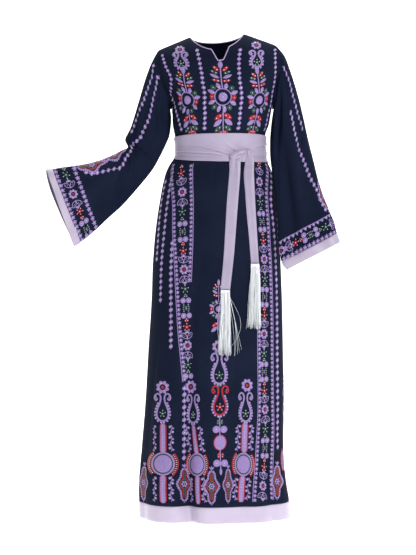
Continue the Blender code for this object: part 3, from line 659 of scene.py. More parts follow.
def tube_object(name, route, radius, material, sides=8, closed=False):
    """Round tube along a route of points."""
    route = np.asarray(route, dtype=float)
    if closed:
        run = np.roll(route, -1, axis=0) - np.roll(route, 1, axis=0)
    else:
        run = np.gradient(route, axis=0)
    run /= np.linalg.norm(run, axis=1, keepdims=True)
    up = np.tile(np.array([0.13, 0.21, 0.97]), (len(route), 1))
    side = np.cross(run, up)
    side /= np.linalg.norm(side, axis=1, keepdims=True)
    over = np.cross(side, run)
    turns = np.linspace(0.0, 2.0 * math.pi, sides, endpoint=False)
    rings = (route[:, None] + side[:, None] * np.cos(turns)[None, :, None] * radius
             + over[:, None] * np.sin(turns)[None, :, None] * radius)
    faces = []
    count = len(route)
    for k in range(count if closed else count - 1):
        for s in range(sides):
            a, b = k * sides + s, k * sides + (s + 1) % sides
            c, d = ((k + 1) % count) * sides + (s + 1) % sides, ((k + 1) % count) * sides + s
            faces.append((a, b, c, d))
    if not closed:
        faces.append(tuple(range(sides))[::-1])
        faces.append(tuple((count - 1) * sides + s for s in range(sides)))
    return mesh_object(name, rings.reshape(-1, 3), faces, material)


# Cloth of the dress

FRONT = BodyPatch(-1)
BACK = BodyPatch(1)
LEFT = SleevePatch(-1.0, LEFT_SLEEVE, LEFT_SLEEVE_CREASES)
RIGHT = SleevePatch(1.0, RIGHT_SLEEVE, RIGHT_SLEEVE_CREASES)
PANEL_ANGLES = np.arange(-90.0, 90.01, 1.0)
BODICE_ROWS = 36
SHARED_TOP_Z = -0.270
SKIRT_ROW = 0.009


def panel_grid(side):
    tops = top_height(side, PANEL_ANGLES)
    past_shoulder = np.maximum(0.0, np.abs(PANEL_ANGLES) - SHOULDER_ANGLE) / (90.0 - SHOULDER_ANGLE)
    crowding = 2.2 - 1.1 * past_shoulder
    run = (np.arange(BODICE_ROWS) / BODICE_ROWS)[:, None] ** crowding[None, :]
    upper = tops[None, :] + (SHARED_TOP_Z - tops[None, :]) * run
    count = int(round((SHARED_TOP_Z - HEM_BAND_TOP_Z) / SKIRT_ROW))
    lower = np.linspace(SHARED_TOP_Z, HEM_BAND_TOP_Z, count + 1)[:, None]
    heights = np.concatenate([upper, np.repeat(lower, len(PANEL_ANGLES), axis=1)])
    angles = np.broadcast_to(PANEL_ANGLES[None, :], heights.shape)
    return body_point(side, angles, heights)


def build_dress_cloth():
    made = []
    for side, word in ((-1, "front"), (1, "back")):
        panel = grid_object(word + "_cloth", panel_grid(side), CREPE, CLOTH, flip=side > 0)
        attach(panel, "root")
        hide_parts(word + "_panel")
        heights = np.linspace(HEM_BAND_TOP_Z + 0.0006, HEM_Z, 9)[:, None]
        band_points = body_point(side, PANEL_ANGLES[None, :], heights)
        swell = np.sin(np.linspace(0.0, math.pi, 9))[:, None, None] ** 0.5 * 0.0007
        normals = BodyPatch(side).normal(*np.broadcast_arrays(PANEL_ANGLES[None, :], heights))
        # Hem band in the lighter copy of the band satin: painted light
        band = grid_object("hem_satin_" + word, band_points + normals * swell, HEM_SATIN_PAINTED_LIGHT, SATIN,
                           flip=side > 0)
        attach(band, "root")
        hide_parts("hem_band_" + word)
        made.append((panel, band))
    return made


SLEEVE_TURNS = np.linspace(0.0, 360.0, SLEEVE_FINE, endpoint=False)


def build_sleeve_cloth():
    made = []
    for patch, word in ((LEFT, "left"), (RIGHT, "right")):
        cuff = patch.last - 1
        start = np.array([0.0, 1.0])
        stations = np.concatenate([start, np.linspace(1.0, cuff, 10 * (cuff - 1) + 1)[1:]])
        grid = patch.point(SLEEVE_TURNS[None, :], stations[:, None])
        sleeve = grid_object("sleeve_cloth_" + word, grid, CREPE, CLOTH, True, patch.sign > 0)
        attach(sleeve, "root")
        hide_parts("sleeve_" + word)
        ends = np.linspace(cuff + 0.02, cuff + 1.0, 9)
        band_points = patch.point(SLEEVE_TURNS[None, :], ends[:, None])
        swell = np.sin(np.linspace(0.0, math.pi, 9))[:, None, None] ** 0.5 * 0.0006
        normals = patch.normal(*np.broadcast_arrays(SLEEVE_TURNS[None, :], ends[:, None]))
        # Cuff band in the darker copy of the band satin: painted shade
        band = grid_object("cuff_satin_" + word, band_points + normals * swell, BAND_SATIN_PAINTED_SHADE, SATIN,
                           # inside: the reverse satin, painted dark as shade
                           True, patch.sign > 0, SATIN_REVERSE_PAINTED_SHADE)
        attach(band, "root")
        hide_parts("cuff_band_" + word)
        made.append((sleeve, band))
    return made


def build_binding():
    """Satin piping on the neck's cut edge."""
    route = []
    for side, direction in ((-1, 1.0), (1, -1.0)):
        angles = direction * np.linspace(-NECK_ANGLE, NECK_ANGLE, 65)[:-1]
        heights = top_height(side, angles)
        points = body_point(side, angles, heights)
        below = body_point(side, angles, heights - 0.003)
        way = points - below
        way /= np.linalg.norm(way, axis=1, keepdims=True)
        corner = np.clip((np.abs(angles) - 14.0) / 10.0, 0.0, 1.0)[:, None]
        to_hole = np.array([0.0, -0.01, 0.055]) - points
        to_hole /= np.linalg.norm(to_hole, axis=1, keepdims=True)
        way = way * (1.0 - corner) + to_hole * corner
        route.append(points + way * 0.0012)
    piping = tube_object("neck_piping", np.concatenate(route), 0.0015, PIPING_SATIN, 8, True)
    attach(piping, "root")
    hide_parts("neck_binding")
    return piping


# Sash

SASH_ANGLES = np.linspace(-90.0, 90.0, 91)[:-1]
SASH_LINE_COLUMNS = ("x0", "z0", "x1", "z1", "width", "depth", "step")
OUTER_LINES = (
    (-0.052, -0.3290, 0.043, -0.3605, 0.0024, -0.0034, 0.0040),
    (-0.010, -0.3160, 0.046, -0.3480, 0.0045, -0.0016, 0.0),
    (0.006, -0.3060, 0.052, -0.3420, 0.0055, 0.0014, 0.0),
    (-0.124, -0.3440, 0.034, -0.3590, 0.0024, -0.0028, 0.0026),
    (-0.118, -0.3230, -0.030, -0.3280, 0.0070, -0.0012, 0.0),
    (0.098, -0.3400, 0.142, -0.3250, 0.0024, -0.0030, 0.0030),
    (0.104, -0.3565, 0.146, -0.3540, 0.0022, -0.0026, 0.0024),
    (0.100, -0.3480, 0.144, -0.3430, 0.0040, 0.0014, 0.0),
    (0.086, -0.3250, 0.130, -0.3060, 0.0045, -0.0014, 0.0),
)
BACK_LINES = (
    (-0.130, -0.3180, 0.120, -0.3120, 0.0045, -0.0014, 0.0),
    (-0.110, -0.3390, 0.130, -0.3350, 0.0030, -0.0014, 0.0014),
    (-0.060, -0.3530, 0.120, -0.3480, 0.0030, -0.0012, 0.0),
)
STEP_RUN = 0.011
STEP_EDGE = 0.0007


def sash_edge(name, side, angle):
    """Heights of the sash's top or low edge."""
    angles = [row[0] for row in SASH_EDGES]
    heights = [row[SASH_EDGE_COLUMNS.index(name)] for row in SASH_EDGES]
    if side > 0:
        angles, heights = [angles[0], angles[-1]], [heights[0], heights[-1]]
    return np.interp(angle, angles, heights)


def line_reach(lines, x, z):
    reach = np.zeros(x.shape)
    for row in lines:
        line = dict(zip(SASH_LINE_COLUMNS, row))
        share = np.clip((x - line["x0"]) / (line["x1"] - line["x0"]), 0.0, 1.0)
        middle = line["z0"] + (line["z1"] - line["z0"]) * share
        past = np.maximum(0.0, np.maximum(line["x0"] - x, x - line["x1"]))
        fade = np.minimum(1.0, 0.35 + share)
        off = z - middle
        wane = np.exp(-np.abs(off) / STEP_RUN)
        fold = line["step"] * (1.0 + np.tanh(off / STEP_EDGE)) / 2.0 * wane
        groove = line["depth"] * np.exp(-((off + 0.5 * line["width"]) / line["width"]) ** 2)
        reach += (groove + fold) * fade * np.exp(-(past / 0.012) ** 2)
    return reach


def sash_turn(name, node, low_share, lift, stand_off, lines):
    """One turn of the sash from its top edge down a share of its whole width."""
    rows = 65
    halves = []
    for side, direction in ((-1, 1.0), (1, -1.0)):
        angles = direction * SASH_ANGLES
        x = body_point(side, angles, np.full_like(angles, -0.33))[:, 0]
        top = sash_edge("top", side, angles) + lift
        low = top + (sash_edge("low", side, angles) - top) * low_share
        low += 0.0012 * np.sin(x * 44.0 + 1.0) * (low_share < 1.0)
        run = np.linspace(0.0, 1.0, rows)[:, None]
        z = top[None, :] + (low - top)[None, :] * run
        angle_grid = np.broadcast_to(angles[None, :], z.shape)
        points = body_point(side, angle_grid, z)
        tangent = body_point(side, angle_grid + 1.0, z) - body_point(side, angle_grid - 1.0, z)
        normal = np.stack([tangent[..., 1], -tangent[..., 0], np.zeros(z.shape)], axis=-1)
        normal *= -side / np.linalg.norm(normal, axis=-1, keepdims=True)
        normal *= np.where(np.sum(normal * (points * [1, 1, 0]), axis=-1) < 0, -1.0, 1.0)[..., None]
        roll = 0.0006 * (np.exp(-(run / 0.05) ** 2) + np.exp(-((1.0 - run) / 0.05) ** 2))
        reach = stand_off + line_reach(lines if side < 0 else BACK_LINES, points[..., 0], z) - roll
        halves.append(points + normal * reach[..., None])
    grid = np.concatenate(halves, axis=1)
    obj = grid_object(name, grid, SASH_SATIN, SATIN, True)
    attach(obj, "root")
    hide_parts(node)
    return obj


def front_face_y(x, z, half_width):
    parts = np.array([-1.0, -0.5, 0.0, 0.5, 1.0])
    centre = table_value(BODY_ROWS, BODY_COLUMNS, "centre", z)
    size = table_value(BODY_ROWS, BODY_COLUMNS, "half_width", z)
    angle = np.degrees(np.arcsin(np.clip((x + parts * half_width - centre) / size, -1.0, 1.0)))
    forward = float(np.min(body_point(-1, angle, np.full(5, z))[:, 1]))
    if OUTER_TURN_LOW_Z - SASH_EDGE_CLEARANCE < z < SASH_TOP_Z:
        forward -= SASH_DEPTH
    elif SASH_LOW_Z - SASH_EDGE_CLEARANCE < z < SASH_TOP_Z:
        forward -= INNER_TURN_DEPTH
    return forward


def hanging_face(rows, z):
    face = 0.0
    height = rows[0][0]
    while height >= z - HANG_STEP:
        middle = float(table_value(rows, TAIL_COLUMNS, "x", height))
        width = float(table_value(rows, TAIL_COLUMNS, "width", height))
        face = min(face, front_face_y(middle, height, width / 2.0))
        height -= HANG_STEP
    return face - TAIL_CLEARANCE - TAIL_THICKNESS


def build_tail(name, node, rows, seed, gather):
    """Flat folded satin tail with soft lengthwise creases that shift down its length."""
    steps, across_count = 64, 18
    top_z, low_z = rows[0][0], rows[-1][0]
    grid = []
    for i in range(steps + 1):
        run = i / steps
        z = top_z + (low_z - top_z) * run
        middle = float(table_value(rows, TAIL_COLUMNS, "x", z))
        width = float(table_value(rows, TAIL_COLUMNS, "width", z))
        face = hanging_face(rows, z)
        line = []
        for j in range(across_count + 1):
            across = j / across_count - 0.5
            from_ridge = across - 0.24 - 0.05 * math.sin(5.0 * run + seed)
            ridge = 0.0005 * math.exp(-(from_ridge / 0.09) ** 2)
            from_trough = across + 0.16 + 0.06 * math.sin(4.0 * run + seed)
            trough = 0.0004 * math.exp(-(from_trough / 0.07) ** 2)
            edge = 0.0007 * (2.0 * abs(across)) ** 6
            fan = gather * math.exp(-run / 0.06) * math.cos(math.pi * (4.4 * across + seed))
            fan = max(fan, 0.6 * fan)
            y = face + TAIL_THICKNESS * 0.4 - ridge + trough + edge - fan
            line.append((middle + across * width, y, z))
        grid.append(line)
    obj = grid_object(name, np.array(grid), SASH_SATIN, 0.0016)
    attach(obj, "root")
    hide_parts(node)
    return obj


# Rolls of the knot: their middle lines (across, up, forward), height, depth and lengthwise grooves
KNOT_ROLLS = (
    {"line": ((-0.0255, -0.0125, 0.0035), (-0.0205, -0.0050, 0.0062), (-0.0110, 0.0015, 0.0078),
              (0.0000, 0.0058, 0.0080), (0.0100, 0.0076, 0.0055), (0.0175, 0.0082, 0.0010)),
     "height": 0.0132, "depth": 0.0112, "grooves": ((52.0, 0.30), (92.0, 0.26), (128.0, 0.30))},
    {"line": ((-0.0250, -0.0165, 0.0020), (-0.0160, -0.0105, 0.0044), (-0.0060, -0.0060, 0.0052),
              (0.0050, -0.0030, 0.0040)),
     "height": 0.0098, "depth": 0.0080, "grooves": ((64.0, 0.30), (108.0, 0.26))},
    {"line": ((0.0078, 0.0020, 0.0030), (0.0080, -0.0070, 0.0040), (0.0072, -0.0150, 0.0034),
              (0.0066, -0.0222, 0.0022)),
     "height": 0.0185, "depth": 0.0056, "grooves": ((58.0, 0.30), (88.0, 0.22), (122.0, 0.34))},
)
ROLL_STEPS = 44
ROLL_AROUND = 32


def add_roll(points, faces, origin, roll):
    """Swept roll of satin with soft grooves along it and rounded ends."""
    line = np.array(roll["line"])
    known = np.linspace(0.0, 1.0, len(line))
    slopes = np.gradient(line, known, axis=0)
    base = len(points)
    for i in range(ROLL_STEPS + 1):
        run = i / ROLL_STEPS
        k = min(int(run * (len(line) - 1)), len(line) - 2)
        span = known[k + 1] - known[k]
        t = (run - known[k]) / span
        middle = ((2 * t ** 3 - 3 * t ** 2 + 1) * line[k] + (3 * t ** 2 - 2 * t ** 3) * line[k + 1]
                  + (t ** 3 - 2 * t ** 2 + t) * span * slopes[k]
                  + (t ** 3 - t ** 2) * span * slopes[k + 1])
        ahead = slopes[k] * (1.0 - t) + slopes[k + 1] * t
        ahead = ahead[:2] / np.linalg.norm(ahead[:2])
        end = min(1.0, (min(run, 1.0 - run) + 0.012) / 0.14)
        full = math.sqrt(1.0 - (1.0 - end) ** 2)
        for j in range(ROLL_AROUND):
            turn = 360.0 * j / ROLL_AROUND
            radius = 1.0
            for angle, depth in roll["grooves"]:
                shift = 26.0 * math.sin(2.6 * run + angle)
                radius -= depth * math.exp(-((turn - angle - shift) / 13.0) ** 2)
            up = math.cos(math.radians(turn)) * roll["height"] / 2.0 * full * radius
            forward = math.sin(math.radians(turn)) * roll["depth"] / 2.0 * full * radius
            points.append((origin[0] + middle[0] - ahead[1] * up,
                           origin[1] - middle[2] - forward,
                           origin[2] + middle[1] + ahead[0] * up))
    for i in range(ROLL_STEPS):
        for j in range(ROLL_AROUND):
            after = (j + 1) % ROLL_AROUND
            faces.append((base + i * ROLL_AROUND + j, base + i * ROLL_AROUND + after,
                          base + (i + 1) * ROLL_AROUND + after, base + (i + 1) * ROLL_AROUND + j))
    faces.append(tuple(base + j for j in range(ROLL_AROUND))[::-1])
    faces.append(tuple(base + ROLL_STEPS * ROLL_AROUND + j for j in range(ROLL_AROUND)))


def build_knot():
    """The knot: the sash's end drawn over itself, with a short fold between the two tails."""
    x, z = KNOT_CENTRE
    low = z - 0.006
    face = min(hanging_face(LEFT_TAIL, low), hanging_face(RIGHT_TAIL, low)) + TAIL_THICKNESS
    points, faces = [], []
    for roll in KNOT_ROLLS:
        add_roll(points, faces, (x, face, z), roll)
    knot = mesh_object("sash_knot_satin", points, faces, SASH_SATIN)
    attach(knot, "root")
    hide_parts("sash_knot")
    return knot


# Tassels

THREADS = 115
STRAND_SIDES = 4
STRAND_STEPS = 12


def strand(points, faces, route, radius):
    """One thread as a slim four-sided tube."""
    base = len(points)
    count = len(route)
    for k, place in enumerate(route):
        thin = radius * (1.0 - 0.25 * k / (count - 1))
        for s in range(STRAND_SIDES):
            turn = math.pi * (0.25 + 0.5 * s)
            points.append((place[0] + thin * math.cos(turn), place[1] + thin * math.sin(turn),
                           place[2]))
    for k in range(count - 1):
        for s in range(STRAND_SIDES):
            a, b = base + k * STRAND_SIDES + s, base + k * STRAND_SIDES + (s + 1) % STRAND_SIDES
            faces.append((a, b, b + STRAND_SIDES, a + STRAND_SIDES))
    faces.append(tuple(base + s for s in range(STRAND_SIDES)))
    end = base + (count - 1) * STRAND_SIDES
    faces.append(tuple(end + s for s in range(STRAND_SIDES))[::-1])


def head_band(points, faces, middle, centre_y, end_z, width):
    """Narrow stitched band that holds the tops of the threads."""
    base, around = len(points), 28
    levels = ((-0.0004, 0.90), (-0.0012, 1.0), (-0.0042, 1.0), (-0.0050, 0.92))
    for level, share in levels:
        for k in range(around):
            turn = 2.0 * math.pi * k / around
            points.append((middle + math.copysign(abs(math.cos(turn)) ** 0.35, math.cos(turn))
                           * (width / 2.0 + 0.0004) * share,
                           centre_y - math.copysign(abs(math.sin(turn)) ** 0.6, math.sin(turn))
                           * 0.0021 * share, end_z + level))
    for i in range(len(levels) - 1):
        for k in range(around):
            after = (k + 1) % around
            faces.append((base + i * around + k, base + i * around + after,
                          base + (i + 1) * around + after, base + (i + 1) * around + k))
    faces.append(tuple(base + k for k in range(around))[::-1])
    faces.append(tuple(base + 3 * around + k for k in range(around)))


def build_tassel(name, node, rows, seed, strays):
    """Silky threads under a narrow stitched head."""
    rng = random.Random(seed)
    end_z, middle = rows[-1][0], rows[-1][1]
    width, depth, height = TASSEL_HEAD
    head_low = end_z - height
    reach = width / 2.0 * 1.35
    face = front_face_y(middle, head_low, reach)
    centre_y = min(face - 0.0011 - depth / 2.0, hanging_face(rows, end_z) + TAIL_THICKNESS / 2.0)
    points, faces = [], []
    for k in range(THREADS):
        across = rng.uniform(-1.0, 1.0)
        deep = rng.uniform(-1.0, 1.0)
        length = TASSEL_LENGTH * rng.uniform(0.90, 1.0) + height
        wave, phase = rng.uniform(0.0002, 0.0010), rng.uniform(0.0, 6.3)
        drift = rng.gauss(0.0, 0.0018)
        route = []
        for i in range(STRAND_STEPS + 1):
            run = i / STRAND_STEPS
            z = end_z - 0.0006 - length * run
            if i % 3 == 0:
                lean = min(0.0, front_face_y(middle, max(z, -1.2), reach) - face)
            spread = 1.0 + 0.50 * run ** 1.6
            x = middle + across * width / 2.0 * spread + drift * run + 0.0014 * math.sin(5.0 * run)
            x += wave * math.sin(9.0 * run + phase)
            full = min(1.0, 0.30 + run * 9.0)
            y = centre_y + deep * depth / 2.0 * (full + 0.5 * run) + lean
            y += wave * 0.6 * math.cos(8.0 * run + phase)
            route.append((x, y, z))
        strand(points, faces, route, rng.uniform(0.00060, 0.00088))
    for stray in strays:
        route = []
        for i in range(STRAND_STEPS + 5):
            run = i / (STRAND_STEPS + 4)
            bend = dict(zip(("start", "out", "reach", "length"), stray))
            z = end_z - 0.012 - bend["length"] * run
            swing = math.sin(math.pi * min(1.0, run) ** 1.2)
            x = middle + bend["start"] + bend["out"] * run + bend["reach"] * swing
            y = centre_y - 0.002 + min(0.0, front_face_y(middle, max(z, -1.2), reach) - face)
            route.append((x, y, z))
        strand(points, faces, route, 0.00045)
    head_band(points, faces, middle, centre_y, end_z, width)
    obj = mesh_object(name, points, faces, SILK)
    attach(obj, "root")
    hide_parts(node)
    return obj


LEFT_STRAYS = (
    (0.010, 0.008, 0.030, 0.150),
    (0.010, 0.030, 0.004, 0.168),
    (0.011, 0.024, 0.006, 0.172),
    (0.009, 0.019, 0.003, 0.176),
    (0.011, 0.036, 0.000, 0.160),
    (-0.011, -0.004, -0.009, 0.150),
    (-0.010, -0.003, -0.005, 0.140),
    (0.012, 0.014, 0.010, 0.178),
)
RIGHT_STRAYS = (
    (-0.010, -0.012, -0.003, 0.172),
    (-0.010, -0.016, 0.002, 0.176),
    (0.006, 0.006, 0.000, 0.202),
    (-0.011, -0.004, -0.004, 0.168),
    (0.010, 0.004, 0.003, 0.176),
)

# Embroidery: raised stitching drawn on the cloth and gathered by colour for each piece of it

UNIT = METRES_A_PIXEL
LAVENDER, RED, GREEN, STONE = "lavender", "red", "green", "stones"
STITCH_EDGE = 0.00022
STONE_RADIUS = 0.0017
STONE_BASE = 0.00055
STONE_TOP = 0.0014
EDGE_ANGLE = 89.4
LOWEST_STITCH_Z = -1.3725
SEAM_MARGIN = 0.007


def sight(patch, points):
    """Column and row of the camera's frame where points are seen, from behind for the back."""
    behind = getattr(patch, "side", -1) > 0
    flip = -1.0 if behind else 1.0
    reach = METRES_A_PIXEL * (1.0 + flip * points[..., 1] / CAMERA_DISTANCE)
    column = PHOTO_SIZE[0] / 2.0 + flip * (points[..., 0] - CAMERA_X * flip) / reach
    row = PHOTO_SIZE[1] / 2.0 - (points[..., 2] - CAMERA_Z) / reach
    return np.stack([column, row], axis=-1)


def search_grid(patch):
    if isinstance(patch, BodyPatch):
        u, v = np.meshgrid(np.arange(-86.0, 86.1, 4.0), np.arange(-1.372, -0.01, 0.02))
    else:
        u, v = np.meshgrid(np.arange(4.0, 177.0, 4.0), np.arange(0.5, patch.last, 0.25))
    return u.ravel(), v.ravel()


def seen(patch, spots, near=None):
    """Places on the cloth (u, v) seen at columns and rows of the camera's frame."""
    spots = np.asarray(spots, dtype=float).reshape(-1, 2)
    if near is None:
        u, v = search_grid(patch)
        images = sight(patch, patch.point(u, v))
        nearest = np.argmin(np.linalg.norm(images[None] - spots[:, None], axis=2), axis=1)
        place = np.stack([u[nearest], v[nearest]], axis=1)
    else:
        place = np.array(near)
    steps = (0.5, 0.002 if isinstance(patch, BodyPatch) else 0.02)
    limit = (6.0, 0.03 if isinstance(patch, BodyPatch) else 0.3)
    for _ in range(10 if near is None else 5):
        here = sight(patch, patch.point(place[:, 0], place[:, 1]))
        by_u = sight(patch, patch.point(place[:, 0] + steps[0], place[:, 1])) - here
        by_v = sight(patch, patch.point(place[:, 0], place[:, 1] + steps[1])) - here
        miss = spots - here
        area = by_u[:, 0] * by_v[:, 1] - by_u[:, 1] * by_v[:, 0]
        area = np.where(np.abs(area) < 1e-4, 1e-4, area)
        move_u = (miss[:, 0] * by_v[:, 1] - miss[:, 1] * by_v[:, 0]) / area * steps[0]
        move_v = (by_u[:, 0] * miss[:, 1] - by_u[:, 1] * miss[:, 0]) / area * steps[1]
        place[:, 0] += np.clip(move_u, -limit[0], limit[0])
        place[:, 1] += np.clip(move_v, -limit[1], limit[1])
        if isinstance(patch, BodyPatch):
            place[:, 0] = np.clip(place[:, 0], -88.0, 88.0)
            place[:, 1] = np.maximum(place[:, 1], LOWEST_STITCH_Z)
        else:
            place[:, 1] = np.clip(place[:, 1], 0.2, patch.last)
    if near is None and isinstance(patch, BodyPatch):
        place[:, 1] = np.minimum(place[:, 1], top_height(patch.side, place[:, 0]) - SEAM_MARGIN)
    return place


class Stitching:
    """All stitching on one piece of cloth."""

    def __init__(self, patch, word):
        self.patch = patch
        self.word = word
        self.drawn = {}
        self.laid = {}

    def draw(self, colour, places, lifts, faces):
        """Faces between places (u, v) on the cloth, each at its own height above it."""
        self.drawn.setdefault(colour, []).append((places, np.asarray(lifts, dtype=float), faces))

    def lay(self, colour, points, faces):
        self.laid.setdefault(colour, []).append((points, faces))

    def build(self):
        made = []
        for colour in sorted(set(self.drawn) | set(self.laid)):
            points, faces = [], []
            drawn = self.drawn.get(colour, [])
            if drawn:
                places = np.concatenate([item[0] for item in drawn])
                past = np.zeros(len(places), dtype=bool)
                if isinstance(self.patch, BodyPatch):
                    past = np.abs(places[:, 0]) > EDGE_ANGLE
                    places[:, 0] = np.clip(places[:, 0], -EDGE_ANGLE, EDGE_ANGLE)
                    places[:, 1] = np.maximum(places[:, 1], LOWEST_STITCH_Z)
                lifts = np.concatenate([item[1] for item in drawn])
                surface = self.patch.point(places[:, 0], places[:, 1])
                normals = self.patch.normal(places[:, 0], places[:, 1])
                points.append(surface + normals * lifts[:, None])
            base = 0
            for item in drawn:
                for face in item[2]:
                    corners = tuple(base + i for i in face)
                    if not all(past[i] for i in corners):
                        faces.append(corners)
                base += len(item[0])
            for laid_points, laid_faces in self.laid.get(colour, []):
                points.append(laid_points)
                faces += [tuple(base + i for i in face) for face in laid_faces]
                base += len(laid_points)
            name = "stitch_" + colour + "_" + self.word
            piece = mesh_object(name, np.concatenate(points), faces, STITCH_MATERIALS[colour],
                                colour != STONE)
            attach(piece, "root")
            made.append(piece)
        return made


class Pen:
    """Drawing frame at one place on the cloth, in units of the photograph's scale."""

    def __init__(self, stitching, place, turn=0.0, size=1.0, squeeze=1.0):
        self.stitching = stitching
        self.u, self.v = float(place[0]), float(place[1])
        self.across, self.along = stitching.patch.scale(self.u, self.v)
        self.turn = math.radians(turn)
        self.unit = UNIT * size
        self.squeeze = squeeze

    def places(self, local):
        x, y = local[:, 0] * self.squeeze, local[:, 1]
        right = (x * math.cos(self.turn) - y * math.sin(self.turn)) * self.unit
        up = (x * math.sin(self.turn) + y * math.cos(self.turn)) * self.unit
        return np.stack([self.u + right / self.across, self.v + up / self.along], axis=1)

    def pillow(self, colour, outline, height=0.0007, rings=((0.86, 0.7), (0.45, 1.0))):
        """Padded satin-stitch shape, highest in the middle."""
        outline = np.asarray(outline, dtype=float)
        count = len(outline)
        middle = outline.mean(axis=0)
        local, lifts, faces = [outline], [STITCH_EDGE] * count, []
        for k, (share, rise) in enumerate(rings):
            local.append(middle + (outline - middle) * share)
            lifts += [STITCH_EDGE + height * rise] * count
            for i in range(count):
                after = (i + 1) % count
                faces.append((k * count + i, k * count + after,
                              (k + 1) * count + after, (k + 1) * count + i))
        local.append(middle[None, :])
        lifts.append(STITCH_EDGE + height)
        inner, centre = len(rings) * count, (len(rings) + 1) * count
        faces += [(inner + i, inner + (i + 1) % count, centre) for i in range(count)]
        self.stitching.draw(colour, self.places(np.concatenate(local)), lifts, faces)

    def oval(self, colour, x, y, across, along, turn=0.0, sides=12, height=0.0007, point=0.0):
        """Round or, with point above zero, leaf-shaped padded stitching."""
        angles = np.linspace(0.0, 2.0 * math.pi, sides, endpoint=False)
        long_way = across / 2.0 * np.cos(angles)
        short_way = along / 2.0 * np.sin(angles) * np.abs(np.sin(angles)) ** point
        c, s = math.cos(math.radians(turn)), math.sin(math.radians(turn))
        outline = np.stack([x + long_way * c - short_way * s, y + long_way * s + short_way * c], 1)
        rings = ((0.86, 0.7), (0.45, 1.0))
        if across > 9.0 and along > 9.0:
            rings = ((0.95, 0.7), (0.78, 0.9), (0.58, 1.0), (0.38, 1.0), (0.18, 1.0))
        self.pillow(colour, outline, height, rings)

    def leaf(self, colour, x, y, length, width, turn, stones=2):
        self.oval(colour, x, y, length, width, turn, 12, 0.0007, 0.6)
        c, s = math.cos(math.radians(turn)), math.sin(math.radians(turn))
        for k in range(stones):
            off = length * (0.0 if stones == 1 else (k / (stones - 1) - 0.5) * 0.45)
            self.stone(x + off * c, y + off * s)

    def stroke(self, colour, local, width, closed=False, height=0.0005):
        """Line of cord or close stitches, round in section."""
        local = np.asarray(local, dtype=float)
        if closed:
            run = np.roll(local, -1, axis=0) - np.roll(local, 1, axis=0)
        else:
            run = np.gradient(local, axis=0)
        run /= np.maximum(1e-9, np.linalg.norm(run, axis=1, keepdims=True))
        off = np.stack([-run[:, 1], run[:, 0]], axis=1) * width / 2.0
        count = len(local)
        points = np.concatenate([local + off, local, local - off])
        lifts = [STITCH_EDGE] * count + [STITCH_EDGE + height] * count + [STITCH_EDGE] * count
        faces = []
        for k in range(count if closed else count - 1):
            after = (k + 1) % count
            for row in (0, count):
                faces.append((row + k, row + after, row + count + after, row + count + k))
        self.stitching.draw(colour, self.places(points), lifts, faces)

    def ring(self, colour, x, y, across, along, width, start=0.0, stop=360.0, sides=24):
        closed = stop - start >= 360.0
        angles = np.radians(np.linspace(start, stop, sides, endpoint=not closed))
        local = np.stack([x + across * np.cos(angles), y + along * np.sin(angles)], axis=1)
        self.stroke(colour, local, width, closed)

    def loop(self, colour, x, y, length, width, turn, thread=0.8):
        """Outline of a leaf."""
        angles = np.linspace(0.0, 2.0 * math.pi, 14, endpoint=False)
        long_way = length / 2.0 * np.cos(angles)
        short_way = width / 2.0 * np.sin(angles) * np.abs(np.sin(angles)) ** 0.4
        c, s = math.cos(math.radians(turn)), math.sin(math.radians(turn))
        self.stroke(colour, np.stack([x + long_way * c - short_way * s,
                                      y + long_way * s + short_way * c], 1), thread, True)

    def stone(self, x, y, size=1.0):
        angles = np.linspace(0.0, 2.0 * math.pi, 6, endpoint=False)
        radius = STONE_RADIUS * size / self.unit
        circle = np.stack([np.cos(angles), np.sin(angles)], axis=1) * radius
        local = np.concatenate([circle, circle * 0.55]) + np.array([x, y])
        lifts = [STONE_BASE] * 6 + [STONE_TOP] * 6
        faces = [(i, (i + 1) % 6, 6 + (i + 1) % 6, 6 + i) for i in range(6)]
        faces.append(tuple(range(6, 12)))
        places = self.places((local - [x, y]) / [self.squeeze, 1.0] + [x, y])
        self.stitching.draw(STONE, places, lifts, faces)


class SeenPen(Pen):
    """Pen that keeps a motif's shape as it is seen from in front, whatever the folds under it."""

    def __init__(self, stitching, spot, size=1.0, squeeze=1.0):
        place = seen(stitching.patch, [spot])[0]
        super().__init__(stitching, place, 0.0, size, squeeze)
        self.spot = np.array(spot, dtype=float)

    def places(self, local):
        off = np.stack([local[:, 0] * self.squeeze, -local[:, 1]], axis=1) * self.unit / UNIT
        return seen(self.stitching.patch, self.spot + off, super().places(local))


def aimed_pen(stitching, spot, target, size=1.0, squeeze=1.0):
    """Pen at one seen spot with its upward way towards another."""
    place, aim = seen(stitching.patch, [spot, target])
    pen = Pen(stitching, place, 0.0, size, squeeze)
    way = (aim - place) * [pen.across, pen.along]
    pen.turn = math.atan2(way[1], way[0]) - math.pi / 2.0
    return pen


# Motifs, each about its own middle

def star(pen, colour, radius=4.0):
    for k in range(5):
        turn = 90.0 + 72.0 * k
        c, s = math.cos(math.radians(turn)), math.sin(math.radians(turn))
        pen.leaf(colour, 0.52 * radius * c, 0.52 * radius * s, radius, 1.5, turn, 0)
        pen.stone(0.88 * radius * c, 0.88 * radius * s, 0.75)
    pen.stone(0.0, 0.0, 0.95)


def rosette(pen, radius=5.0, colour=LAVENDER):
    pen.ring(colour, 0.0, 0.0, radius * 0.62, radius * 0.62, radius * 0.34)
    for k in range(8):
        turn = math.radians(22.5 + 45.0 * k)
        pen.oval(colour, radius * 0.76 * math.cos(turn), radius * 0.76 * math.sin(turn),
                 radius * 0.52, radius * 0.52, 0.0, 9)
        if k % 2 == 0:
            pen.stone(radius * 0.62 * math.cos(turn), radius * 0.62 * math.sin(turn), 0.7)
    pen.oval(RED, 0.0, 0.0, radius * 0.50, radius * 0.50, 0.0, 10, 0.0009)


